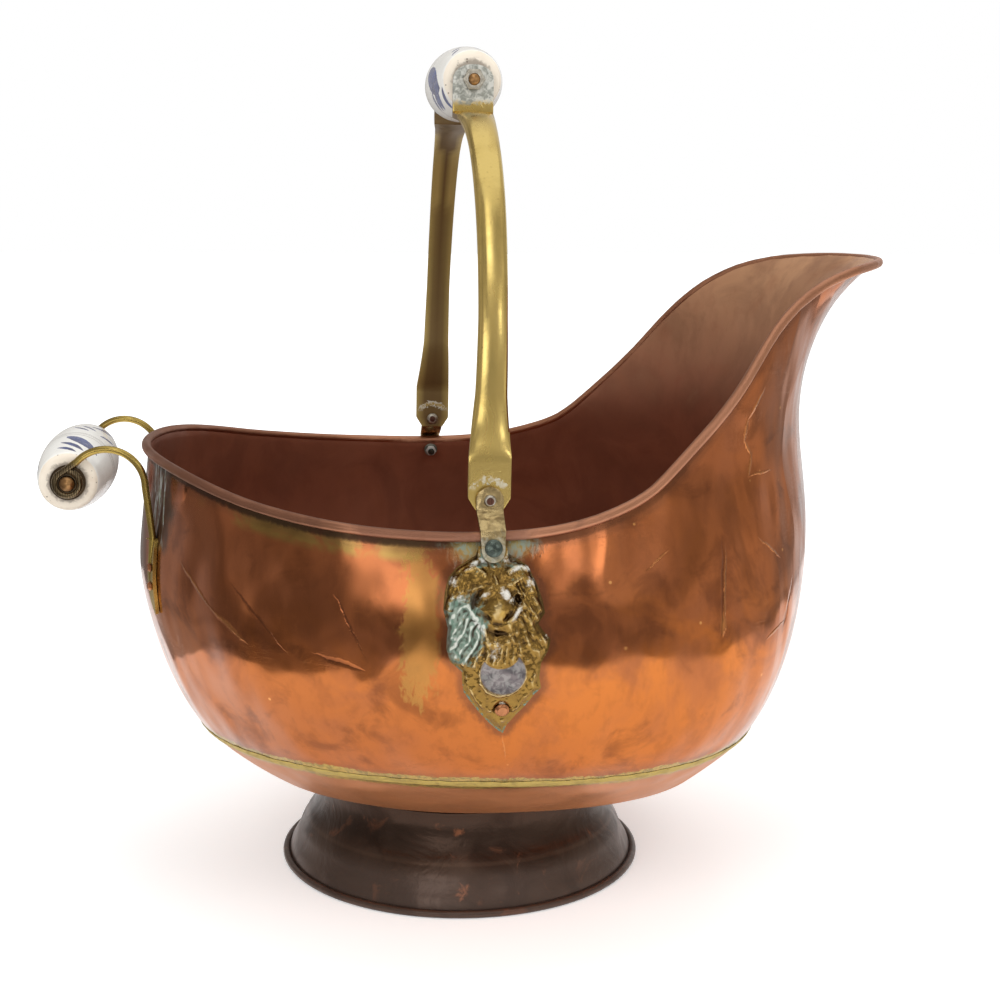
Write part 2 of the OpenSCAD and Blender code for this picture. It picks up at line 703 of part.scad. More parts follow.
// The arm's middle line as [y, z]: a straight run and then a quarter of an ellipse
arm_steps = 22;
straight_steps = 6;
arm_start = [arm_y - plate_t / 2, paddle_top - 4];
function arm_mid(i) =
    i <= straight_steps
    ? let (t = i / straight_steps)
      [arm_start[0] + (shoulder_y - arm_start[0]) * t * (2 - t), arm_start[1] + (shoulder_low - arm_start[1]) * t]
    : let (a = 90 * (i - straight_steps) / (arm_steps - straight_steps))
      [tab_y + plate_t / 2 + (shoulder_y - tab_y - plate_t / 2) * cos(a), shoulder_low + shoulder_h * sin(a)];
arm_w_line = [[0, 1.42], [0.08, 1.3], [0.2, 1.08], [0.35, 0.98], [0.5, 1], [0.8, 1.07], [0.94, 1.15], [1, 1.36]];
function arm_ring(i) =
    let (
        p = arm_mid(i),
        d = unit(arm_mid(min(i + 1, arm_steps)) - arm_mid(max(i - 1, 0))),
        out = [d[1], -d[0]],
        share = i / arm_steps,
        half = arm_w / 2 * smooth_line(arm_w_line, share),
        round_share = min(1, 6 * share),
        edge = plate_t + (arm_edge_t - plate_t) * round_share,
        crown = plate_t + (arm_t - plate_t) * (0.15 + 0.85 * round_share),
        back = -plate_t / 2
    )
    [for (q = [[1, 0], [-1, 0], [-1, edge], [-0.75, edge + 0.66 * (crown - edge)],
               [-0.4, edge + 0.92 * (crown - edge)], [0, crown], [0.4, edge + 0.92 * (crown - edge)],
               [0.75, edge + 0.66 * (crown - edge)], [1, edge]])
        [q[0] * half + arm_bow * sin(180 * share), p[0] + (back + q[1]) * out[0], p[1] + (back + q[1]) * out[1]]];

module arm(side) {
    color("#b39a45")
    bail_frame() on(side) difference() {
        union() {
            bar_of([for (i = [0:arm_steps]) arm_ring(i)]);
            translate([0, arm_y, 0]) rotate([90, 0, 0]) linear_extrude(plate_t) paddle_outline();
            translate([0, tab_y + plate_t, 0]) rotate([90, 0, 0]) linear_extrude(plate_t) tab_outline();
        }
        translate([0, arm_y, pivot_z]) shank(pivot_r + run_gap);
        translate([0, tab_y, rod_z]) shank(rod_r + shank_gap);
    }
}
paddle_round = 6.2;
module paddle_outline() {
    corner = 3;
    polygon([
        [-paddle_w / 2 + corner, pivot_z - paddle_round + 1.6],
        [-paddle_w / 2, pivot_z - paddle_round + 1.6 + corner],
        [-paddle_w / 2, paddle_top],
        [paddle_w / 2, paddle_top],
        [paddle_w / 2, pivot_z - paddle_round + 1.6 + corner],
        [paddle_w / 2 - corner, pivot_z - paddle_round + 1.6]
    ]);
    translate([0, pivot_z]) circle(paddle_round, $fn = small_fn);
}
module tab_outline() {
    translate([0, rod_z]) circle(d = tab_w, $fn = small_fn);
    translate([-tab_w / 2, shoulder_top]) square([tab_w, tab_h]);
}
module arm_left() { arm(left); }
module arm_right() { arm(right); }

nut_gap = skin_gap / 2;
bail_nut_y = tab_y + plate_t + nut_gap;
rod_end = 1;
module rod(half, r) {
    rotate([90, 0, 0]) cylinder(r = r, h = 2 * half, center = true, $fn = small_fn);
    for (side = [left, right]) on(side) translate([0, half, 0]) rotate([-90, 0, 0]) dome(r, rod_end);
}
module dome(r, h) {
    ball = (r ^ 2 + h ^ 2) / (2 * h);
    intersection() {
        translate([0, 0, h - ball]) sphere(r = ball, $fn = round_fn);
        cylinder(r = r, h = h, $fn = small_fn);
    }
}
module bail_rod() {
    color("#8a7048")
    bail_frame() translate([0, 0, rod_z]) rod(bail_nut_y + nut_h, rod_r);
}
module bail_washers() {
    color("#5c4a36")
    bail_frame() for (side = [left, right]) on(side)
        translate([0, bail_grip_l / 2 + face_gap, rod_z]) rotate([-90, 0, 0])
            ring(bail_washer_r, rod_r + shank_gap, washer_t);
}
module bail_nuts() {
    color("#9a8a6a")
    bail_frame() for (side = [left, right]) on(side)
        translate([0, bail_nut_y, rod_z]) rotate([-90, 0, 0]) nut(nut_w, rod_r + shank_gap, nut_h);
}
module grip(l, r, end_r) {
    rise = r - end_r;
    arc_r = (l ^ 2 / 4 + rise ^ 2) / (2 * rise);
    rotate([90, 0, 0]) rotate_extrude($fn = round_fn) difference() {
        intersection() {
            translate([r - arc_r, 0]) circle(arc_r, $fn = 4 * round_fn);
            translate([0, -l / 2]) square([r, l]);
        }
        translate([-1, -l]) square([rod_r + run_gap + 1, 2 * l]);
    }
}
module bail_grip() {
    color("#ece8de")
    bail_frame() translate([0, 0, rod_z]) grip(bail_grip_l, bail_grip_r, bail_grip_end_r);
}

// ---- Rear handle ----

rear_x = -bowl_back - rear_out;
rear_z = foot_h + rear_h;
eye_t = 2 * wire_r;
eye_y = rear_grip_l / 2 + 2 * face_gap + washer_t;
wire_y = eye_y + eye_t / 2;
arch_x = rear_x + arch_r;
arch_z = rear_z - 2;
strap_top = arch_z - 24;
strap_low = strap_top - strap_l;
strap_rivet_zs = [strap_top - 0.4 * strap_l, strap_top - 0.64 * strap_l];
wire_lift = (wire_r + 2 * skin_gap) / -rear_normal(wire_y, strap_top)[0];
wire_foot = [rear_at(wire_y, strap_top) - wire_lift, strap_top - 1.5];
wire_head = [arch_x + arch_r, arch_z];
wire_run = norm(wire_head - wire_foot);
wire_slant = atan2(wire_foot[0] - wire_head[0], wire_head[1] - wire_foot[1]);

module rear_bracket(side) {
    color("#a08a4a")
    difference() {
        on(side) union() {
            translate([rear_x, eye_y + eye_t, rear_z]) rotate([90, 0, 0])
                cylinder(r = eye_r, h = eye_t, $fn = small_fn);
            translate([arch_x, wire_y, arch_z]) rotate([90, 0, 0])
                rotate_extrude(angle = 166, $fn = round_fn)
                    translate([arch_r, 0]) circle(wire_r, $fn = small_fn);
            translate([wire_head[0], wire_y, wire_head[1]]) sphere(wire_r, $fn = small_fn);
            translate([wire_head[0], wire_y, wire_head[1]]) rotate([180, -wire_slant, 0])
                cylinder(r = wire_r, h = wire_run, $fn = small_fn);
            strap();
        }
        translate([rear_x, 0, rear_z]) on(side) translate([0, eye_y, 0]) shank(rod_r + shank_gap);
        for (z = strap_rivet_zs) strap_rivet_axis(side, z) shank(strap_rivet_r + shank_gap);
    }
}
// Half width of the strap by share of its length, pointed at its foot
strap_line = [[0, 0.55], [0.15, 0.9], [0.3, 1], [0.75, 0.95], [0.9, 0.6], [1, 0.12]];
strap_rows = 12;
function strap_grid(lift) =
    [for (i = [0:strap_rows]) let (share = i / strap_rows) [for (across = [1, 0, -1])
        strap_point(strap_top - strap_l * share, wire_y + across * strap_w / 2 * smooth_line(strap_line, share), lift)]];
function strap_point(z, y, lift) = [rear_at(y, z), y, z] + lift * rear_normal(y, z);
module strap() { sheet_of(strap_grid(skin_gap + strap_t), strap_grid(skin_gap)); }
module rear_bracket_left() { rear_bracket(left); }
module rear_bracket_right() { rear_bracket(right); }

// Rivets stand square to the wall, seen from above
module strap_rivet_axis(side, z) {
    n = rear_normal(wire_y, z);
    on(side) translate([rear_at(wire_y, z), wire_y, z]) rotate([0, 0, atan2(n[1], n[0]) - 90]) children();
}
module rear_rivets() {
    color("#b87050")
    for (side = [left, right]) for (z = strap_rivet_zs) strap_rivet_axis(side, z) rotate([-90, 0, 0])
        rivet(strap_rivet_r, skin_gap + strap_t + face_gap, sheet_t + inner_gap);
}

cap_y = eye_y + eye_t + nut_gap;
cap_h = 3;
module rear_rod() {
    color("#8a7048")
    translate([rear_x, 0, rear_z]) rotate([90, 0, 0])
        cylinder(r = rod_r, h = 2 * (cap_y + cap_h / 2), center = true, $fn = small_fn);
}
module rear_washers() {
    color("#3d352f")
    for (side = [left, right]) on(side)
        translate([rear_x, rear_grip_l / 2 + face_gap, rear_z]) rotate([-90, 0, 0])
            ring(rear_washer_r, rod_r + shank_gap, washer_t);
}
module rear_cap_nuts() {
    color("#8a7048")
    for (side = [left, right]) on(side) translate([rear_x, cap_y, rear_z]) rotate([-90, 0, 0])
        difference() {
            dome(cap_r, cap_h);
            translate([0, 0, -1]) cylinder(r = rod_r + shank_gap, h = 1 + cap_h / 2 + shank_gap, $fn = small_fn);
        }
}
module rear_grip() {
    color("#ece8de")
    translate([rear_x, 0, rear_z]) grip(rear_grip_l, rear_grip_r, rear_grip_end_r);
}

side_wall();
bottom_pan();
brazed_seam();
rim_wire();
foot_ring();
foot_wire();
mask_left();
mask_right();
mask_rivets();
ear_left();
ear_right();
ear_screws();
ear_washers();
ear_nuts();
pivot_rivets();
arm_left();
arm_right();
bail_rod();
bail_washers();
bail_nuts();
bail_grip();
rear_bracket_left();
rear_bracket_right();
rear_rivets();
rear_rod();
rear_washers();
rear_cap_nuts();
rear_grip();
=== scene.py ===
import bpy
import math
import numpy
from mathutils import Matrix, Vector
from mathutils.bvhtree import BVHTree


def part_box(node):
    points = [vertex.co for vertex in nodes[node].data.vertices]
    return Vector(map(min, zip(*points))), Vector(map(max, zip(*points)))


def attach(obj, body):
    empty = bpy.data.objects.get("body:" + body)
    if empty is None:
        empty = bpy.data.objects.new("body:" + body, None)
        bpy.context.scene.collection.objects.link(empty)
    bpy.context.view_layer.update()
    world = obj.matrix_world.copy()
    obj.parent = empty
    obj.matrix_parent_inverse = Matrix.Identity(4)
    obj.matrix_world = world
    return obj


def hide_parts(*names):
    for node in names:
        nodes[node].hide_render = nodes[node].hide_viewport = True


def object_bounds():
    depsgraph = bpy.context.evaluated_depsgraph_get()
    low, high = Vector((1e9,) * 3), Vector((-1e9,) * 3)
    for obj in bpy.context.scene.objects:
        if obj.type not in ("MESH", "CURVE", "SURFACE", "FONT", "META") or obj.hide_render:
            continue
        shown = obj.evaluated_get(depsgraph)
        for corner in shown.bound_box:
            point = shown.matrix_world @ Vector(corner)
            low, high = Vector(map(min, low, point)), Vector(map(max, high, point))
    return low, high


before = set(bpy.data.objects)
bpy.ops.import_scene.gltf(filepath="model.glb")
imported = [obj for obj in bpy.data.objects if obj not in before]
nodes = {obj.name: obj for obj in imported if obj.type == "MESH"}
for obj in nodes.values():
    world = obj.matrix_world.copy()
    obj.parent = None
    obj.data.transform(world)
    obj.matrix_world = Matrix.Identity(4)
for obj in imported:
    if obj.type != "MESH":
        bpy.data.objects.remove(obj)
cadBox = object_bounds()
bpy.context.scene.view_settings.view_transform = "Standard"
print("frame loaded:", len(nodes), "nodes")

mm = 0.001


# ways of working that every piece shares

def deselectAll():
    if bpy.context.object and bpy.context.object.mode != "OBJECT":
        bpy.ops.object.mode_set(mode="OBJECT")
    bpy.ops.object.select_all(action="DESELECT")


def focus(piece):
    deselectAll()
    piece.select_set(True)
    bpy.context.view_layer.objects.active = piece


def editAll(piece):
    focus(piece)
    bpy.ops.object.mode_set(mode="EDIT")
    bpy.ops.mesh.select_mode(type="VERT")
    bpy.ops.mesh.select_all(action="SELECT")


def objectMode():
    bpy.ops.object.mode_set(mode="OBJECT")


def pickVertices(piece, test):
    objectMode()
    for polygon in piece.data.polygons:
        polygon.select = False
    for edge in piece.data.edges:
        edge.select = False
    for vertex in piece.data.vertices:
        vertex.select = bool(test(vertex.co))
    bpy.ops.object.mode_set(mode="EDIT")
    bpy.ops.mesh.select_mode(type="VERT")


def applyModifier(piece, kind, **settings):
    focus(piece)
    modifier = piece.modifiers.new(kind.lower(), kind)
    for name, value in settings.items():
        setattr(modifier, name, value)
    bpy.ops.object.modifier_apply(modifier=modifier.name)


def smoothed(piece, levels):
    applyModifier(piece, "SUBSURF", levels=levels, render_levels=levels)


def dented(piece, size, depth, direction):
    texture = bpy.data.textures.new("dents", "CLOUDS")
    texture.noise_scale = size
    texture.noise_depth = 1
    texture.noise_basis = "ORIGINAL_PERLIN"
    applyModifier(
        piece, "DISPLACE", texture=texture, texture_coords="LOCAL", direction=direction, strength=depth,
        mid_level=0.5)


def outwardNormals(piece):
    editAll(piece)
    bpy.ops.mesh.remove_doubles(threshold=1e-6)
    bpy.ops.mesh.normals_make_consistent(inside=False)
    objectMode()


def finishPiece(piece, name, body, material, replaced=(), angle=40):
    focus(piece)
    bpy.ops.object.transform_apply(location=True, rotation=True, scale=True)
    piece.name = name
    piece.data.name = name
    piece.data.materials.clear()
    piece.data.materials.append(material)
    bpy.ops.object.shade_smooth_by_angle(angle=math.radians(angle))
    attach(piece, body)
    if replaced:
        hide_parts(*replaced)
    return piece


def copyOfNode(nodeName):
    piece = bpy.data.objects.new(nodeName + "Copy", nodes[nodeName].data.copy())
    bpy.context.scene.collection.objects.link(piece)
    piece.data.materials.clear()
    editAll(piece)
    bpy.ops.mesh.customdata_custom_splitnormals_clear()
    bpy.ops.mesh.remove_doubles(threshold=2e-6)
    objectMode()
    return piece


def softenedNode(nodeName, name, body, material, width):
    piece = copyOfNode(nodeName)
    editAll(piece)
    bpy.ops.mesh.dissolve_limited(angle_limit=math.radians(1))
    objectMode()
    applyModifier(
        piece, "BEVEL", width=width, segments=2, limit_method="ANGLE", angle_limit=math.radians(38),
        use_clamp_overlap=True)
    return finishPiece(piece, name, body, material, (nodeName,), angle=32)


def newChain(name, points):
    # a plane merged to one vertex, which is then extruded from point to point
    deselectAll()
    bpy.ops.mesh.primitive_plane_add(size=mm)
    piece = bpy.context.object
    piece.name = name
    editAll(piece)
    bpy.ops.mesh.merge(type="CENTER")
    start = Vector(points[0])
    bpy.ops.transform.translate(value=start)
    for here, there in zip(points, points[1:]):
        step = Vector(there) - Vector(here)
        bpy.ops.mesh.extrude_region_move(TRANSFORM_OT_translate={"value": step})
    return piece


def turnedPiece(name, points, axis, centre, steps):
    # a closed outline turned round an axis, as on a lathe or a potter's wheel
    piece = newChain(name, points + points[:1])
    bpy.ops.mesh.select_all(action="SELECT")
    bpy.ops.mesh.remove_doubles(threshold=1e-7)
    bpy.ops.mesh.spin(steps=steps, angle=2 * math.pi, center=centre, axis=axis)
    bpy.ops.mesh.select_all(action="SELECT")
    bpy.ops.mesh.remove_doubles(threshold=1e-7)
    bpy.ops.mesh.normals_make_consistent(inside=False)
    objectMode()
    return piece


# ways of working for the finishes

def paint(red, green, blue):
    # a colour as a paint chart gives it, 0 to 255, turned into the light values that Blender uses
    def linear(value):
        value = value / 255
        return value / 12.92 if value <= 0.04045 else ((value + 0.055) / 1.055) ** 2.4
    return (linear(red), linear(green), linear(blue), 1)


class Flow:
    # a node's output that reckons like a number: each sum is a Math node in the same tree
    def __init__(self, socket):
        self.socket = socket

    def __add__(self, other):
        return figured("ADD", self, other)

    def __radd__(self, other):
        return figured("ADD", other, self)

    def __sub__(self, other):
        return figured("SUBTRACT", self, other)

    def __rsub__(self, other):
        return figured("SUBTRACT", other, self)

    def __mul__(self, other):
        return figured("MULTIPLY", self, other)

    def __truediv__(self, other):
        return figured("DIVIDE", self, other)

    def __pow__(self, other):
        return figured("POWER", self, other)

    def __abs__(self):
        return figured("ABSOLUTE", self)


class Outputs:
    # a node's outputs, by name or number
    def __init__(self, item):
        self.item = item

    def __getitem__(self, name):
        return Flow(self.item.outputs[name])


def feed(socket, value):
    socket.id_data.links.new(value.socket, socket)


def put(tree, kind, inputs=None, **settings):
    item = tree.nodes.new("ShaderNode" + kind)
    for name, value in settings.items():
        setattr(item, name, value)
    for name, value in (inputs or {}).items():
        if isinstance(value, Flow):
            feed(item.inputs[name], value)
        else:
            item.inputs[name].default_value = value
    return Outputs(item)


def treeOf(*values):
    return next(value.socket.id_data for value in values if isinstance(value, Flow))


def figured(operation, first, second=0.0, clamp=False):
    return put(treeOf(first, second), "Math", {0: first, 1: second}, operation=operation, use_clamp=clamp)[0]


def mixed(factor, first, second):
    inputs = {0: factor, 6: first, 7: second}
    return put(treeOf(factor, first, second), "Mix", inputs, data_type="RGBA", clamp_factor=True)[2]


def ranged(value, low, high, first=0.0, last=1.0):
    inputs = {"Value": value, "From Min": low, "From Max": high, "To Min": first, "To Max": last}
    return put(treeOf(value), "MapRange", inputs, interpolation_type="SMOOTHSTEP")[0]


def larger(first, *others):
    for other in others:
        first = figured("MAXIMUM", first, other)
    return first


def rooted(value):
    return figured("SQRT", value)


def slant(first, second):
    # how far a place is when it is so far one way and so far the other
    return rooted(first * first + second * second)


def objectPlace(tree):
    return put(tree, "TexCoord")["Object"]


def partsOf(place):
    return put(treeOf(place), "SeparateXYZ", {0: place})


def attributeOf(tree, name):
    return put(tree, "Attribute", attribute_name=name, attribute_type="GEOMETRY")["Fac"]


def placed(vector, scale=(1, 1, 1), turn=(0, 0, 0), move=(0, 0, 0)):
    turn = tuple(math.radians(angle) for angle in turn)
    inputs = {"Vector": vector, "Scale": scale, "Rotation": turn, "Location": move}
    return put(treeOf(vector), "Mapping", inputs)[0]


def newGroup(name, vectors, numbers, masks):
    tree = bpy.data.node_groups.new(name, "ShaderNodeTree")
    for label in vectors:
        tree.interface.new_socket(name=label, in_out="INPUT", socket_type="NodeSocketVector")
    for label, value in numbers.items():
        socket = tree.interface.new_socket(name=label, in_out="INPUT", socket_type="NodeSocketFloat")
        socket.default_value = value
    for label in masks:
        tree.interface.new_socket(name=label, in_out="OUTPUT", socket_type="NodeSocketFloat")
    return tree, Outputs(tree.nodes.new("NodeGroupInput")), tree.nodes.new("NodeGroupOutput")


def newMaterial(name, metallic=1.0, roughness=0.3):
    material = bpy.data.materials.new(name)
    material.use_nodes = True
    tree = material.node_tree
    shader = tree.nodes["Principled BSDF"]
    shader.inputs["Metallic"].default_value = metallic
    shader.inputs["Roughness"].default_value = roughness
    return material, tree, shader


def bumped(shader, height, distance):
    feed(shader.inputs["Normal"], put(treeOf(height), "Bump", {"Height": height, "Distance": distance})[0])


# patches: soft cloudy patches, such as tarnish
cloudTree, given, gives = newGroup(
    "cloudyPatches", ["Vector"], {"Scale": 30.0, "Warp": 0.4, "Low": 0.4, "High": 0.6}, ["Mask", "Height"])
cloudNoise = put(
    cloudTree, "TexNoise",
    {"Vector": given["Vector"], "Scale": given["Scale"], "Detail": 5.0, "Roughness": 0.58,
     "Distortion": given["Warp"]})[0]
feed(gives.inputs["Mask"], ranged(cloudNoise, given["Low"], given["High"]))
feed(gives.inputs["Height"], cloudNoise)

# rubbedLines: fine scratches and polishing marks, which are ridges of a drawn-out noise in two directions
lineTree, given, gives = newGroup("rubbedLines", ["Vector"], {"Scale": 60.0, "Width": 0.012}, ["Mask"])
lineMasks = []
for stretch, turn in (
        ((1.0, 1.0, 22.0), (8, 62, 5)), ((1.2, 1.0, 26.0), (-12, 24, 40)), ((26.0, 1.0, 1.2), (4, 12, 25))):
    drawn = placed(given["Vector"], stretch, turn)
    drawnNoise = put(
        lineTree, "TexNoise", {"Vector": drawn, "Scale": given["Scale"], "Detail": 3.0, "Roughness": 0.7})[0]
    ridge = abs(drawnNoise - 0.5)
    thin = ranged(ridge, 0.0, given["Width"], 1.0, 0.0)
    broken = put(lineTree, "TexNoise", {"Vector": given["Vector"], "Scale": 38.0, "Detail": 2.0})[0]
    lineMasks.append(thin * ranged(broken, 0.5, 0.62))
feed(gives.inputs["Mask"], larger(*lineMasks))

# darkSpecks: small pits and spots, thinly scattered
speckTree, given, gives = newGroup(
    "darkSpecks", ["Vector"], {"Scale": 200.0, "Share": 0.2, "Size": 0.25}, ["Mask"])
cells = put(speckTree, "TexVoronoi", {"Vector": given["Vector"], "Scale": given["Scale"], "Randomness": 1.0})
spot = ranged(cells["Distance"], given["Size"], given["Size"] * 0.5, 0.0, 1.0)
cellShade = put(speckTree, "SeparateColor", {0: cells["Color"]})[0]
chosen = figured("LESS_THAN", cellShade, given["Share"])
feed(gives.inputs["Mask"], spot * chosen)

# brushLeaf: one leaf-shaped stroke from one place to another in millimetres, for the grips' paint and the
# wall's creases
leafLabels = ("Along", "Around", "FromAlong", "FromAround", "ToAlong", "ToAround", "Width", "Shake", "Soft")
leafTree, given, gives = newGroup("brushLeaf", [], dict.fromkeys(leafLabels, 0.0), ["Mask"])
stepAlong = given["ToAlong"] - given["FromAlong"]
stepAround = given["ToAround"] - given["FromAround"]
partAlong = given["Along"] - given["FromAlong"]
partAround = given["Around"] - given["FromAround"]
leafLength = stepAlong * stepAlong + stepAround * stepAround
leafShare = figured("DIVIDE", partAlong * stepAlong + partAround * stepAround, leafLength, clamp=True)
leafAside = (partAlong * stepAround - partAround * stepAlong) / rooted(leafLength)
leafAside = leafAside + given["Shake"]
leafSwell = leafShare ** 0.55 * (1.0 - leafShare ** 3.0)
leafHalf = leafSwell * 1.35 * given["Width"]
leafEdge = leafHalf - abs(leafAside)
feed(gives.inputs["Mask"], ranged(leafEdge, 0.0, given["Soft"]))


def cloudy(vector, scale, warp, low, high):
    inputs = {"Vector": vector, "Scale": scale, "Warp": warp, "Low": low, "High": high}
    return put(treeOf(vector), "Group", inputs, node_tree=cloudTree)


def wandering(cloud, share):
    # to and fro round nothing, as the patches rise and fall
    return (cloud["Height"] - 0.5) * share


def scratched(vector, scale, width):
    return put(
        treeOf(vector), "Group", {"Vector": vector, "Scale": scale, "Width": width}, node_tree=lineTree)


def speckled(vector, scale, share, size):
    inputs = {"Vector": vector, "Scale": scale, "Share": share, "Size": size}
    return put(treeOf(vector), "Group", inputs, node_tree=speckTree)


def leafStroke(along, around, ends, width, shake, soft):
    inputs = dict(zip(leafLabels, (along, around, *ends, width, shake, soft)))
    return put(treeOf(along), "Group", inputs, node_tree=leafTree)["Mask"]


def spotReach(spots, x, z, halfX, halfZ):
    # how far a place is from a spot in millimetres, seen from the side, as a share of the spot's size
    return slant((spots["X"] - x * mm) / (halfX * mm), (spots["Z"] - z * mm) / (halfZ * mm))


def sideSpotReach(spots, spot):
    # the same on the wall's two sides, and far away from it in the middle
    return spotReach(spots, *spot) + ranged(abs(spots["Y"]), 0.1, 0.08, 0.0, 3.0)


# spots on the wall, in millimetres along and up with their half sizes
brassSpot = (-34, 164, 9, 34)
verdigrisSpots = [(-14, 194, 11, 8), (9, 195, 11, 8), (-3, 191, 16, 8)]
copperWallColours = {
    "bright": paint(202, 119, 59), "brown": paint(158, 96, 66), "dark": paint(98, 56, 38),
    "pink": paint(190, 135, 105),
    "inside": paint(150, 92, 68), "insideLight": paint(212, 162, 122), "insideDark": paint(112, 64, 46),
    "brass": paint(182, 136, 72), "soot": paint(58, 44, 38),
    "halo": paint(112, 72, 54), "greenish": paint(156, 140, 76), "verdigris": paint(138, 152, 134),
    "rimBrown": paint(148, 104, 84), "nick": paint(238, 172, 104),
    "streakPale": paint(190, 202, 204), "streakDark": paint(82, 74, 68), "braze": paint(198, 170, 88),
    "pan": paint(214, 146, 100),
}
# in metres: levels and places from which and to which something comes in, and how far it goes
wallFinish = {
    # levels and reach of the upper wall's brown, which is partly patina and partly a painted dark reflection
    # of the room
    "wander": 0.11, "brownLevel": (0.125, 0.165), "brownShare": 0.6, "brownEnd": (0.05, -0.12, 0.0, 0.36),
    "smearMiddle": 0.075, "smearReach": (0.065, 0.025), "sootEnd": (0.06, -0.02, 0.45, 1.0),
    "seamLevel": 0.0793, "brazeReach": (0.0044, 0.0034), "hazeReach": (0.008, 0.003),
    "panLevel": (0.081, 0.074),
    "nearSide": (-0.015, -0.03), "insideLevel": (0.215, 0.325), "rimEnd": (-0.02, -0.13),
    "foldedEnd": (0.11, 0.17),
    "polish": 0.12, "clouded": 0.07, "dulled": 0.26, "crusted": 0.3, "relief": 0.011,
}
# creases in the sheet on the camera's side, the dark ones painted shade and the bright ones painted
# highlights,
# in millimetres along and up: from, to, half width, and whether it shines with a painted highlight
wallCreases = [
    (-140.4, 177.5, -125, 157.9, 0.9, True),
    (-128, 161, -108, 144.5, 1.3, True),
    (-117.4, 173.9, -90.0, 142.5, 0.8, False),
    (-71.5, 174.5, -57.0, 144.7, 0.7, False),
    (-82, 146.5, -56.8, 140.0, 1.6, False),
    (107.3, 193, 104.5, 146, 0.9, False),
    (108.6, 190, 106, 147, 0.7, True),
    (106.1, 160, 105.6, 147, 1.7, True),
    (132.5, 258.5, 121.6, 242, 0.8, True),
    (123, 246, 120.6, 231, 1.1, True),
    (120.5, 235, 125.6, 225, 0.8, True),
    (125.6, 229, 124.2, 215, 0.8, True),
    (123, 216.6, 140, 217.6, 0.7, True),
    (152, 166, 145, 142, 0.8, False),
    (146.6, 146, 131, 140, 0.7, True),
    (149.2, 153, 144.2, 142, 1.9, False),
    (127, 189.5, 143, 175.5, 0.6, True),
    (66.4, 180.6, 80.3, 190, 0.6, True),
    (1.8, 111.5, 5.0, 95.0, 0.35, True),
]


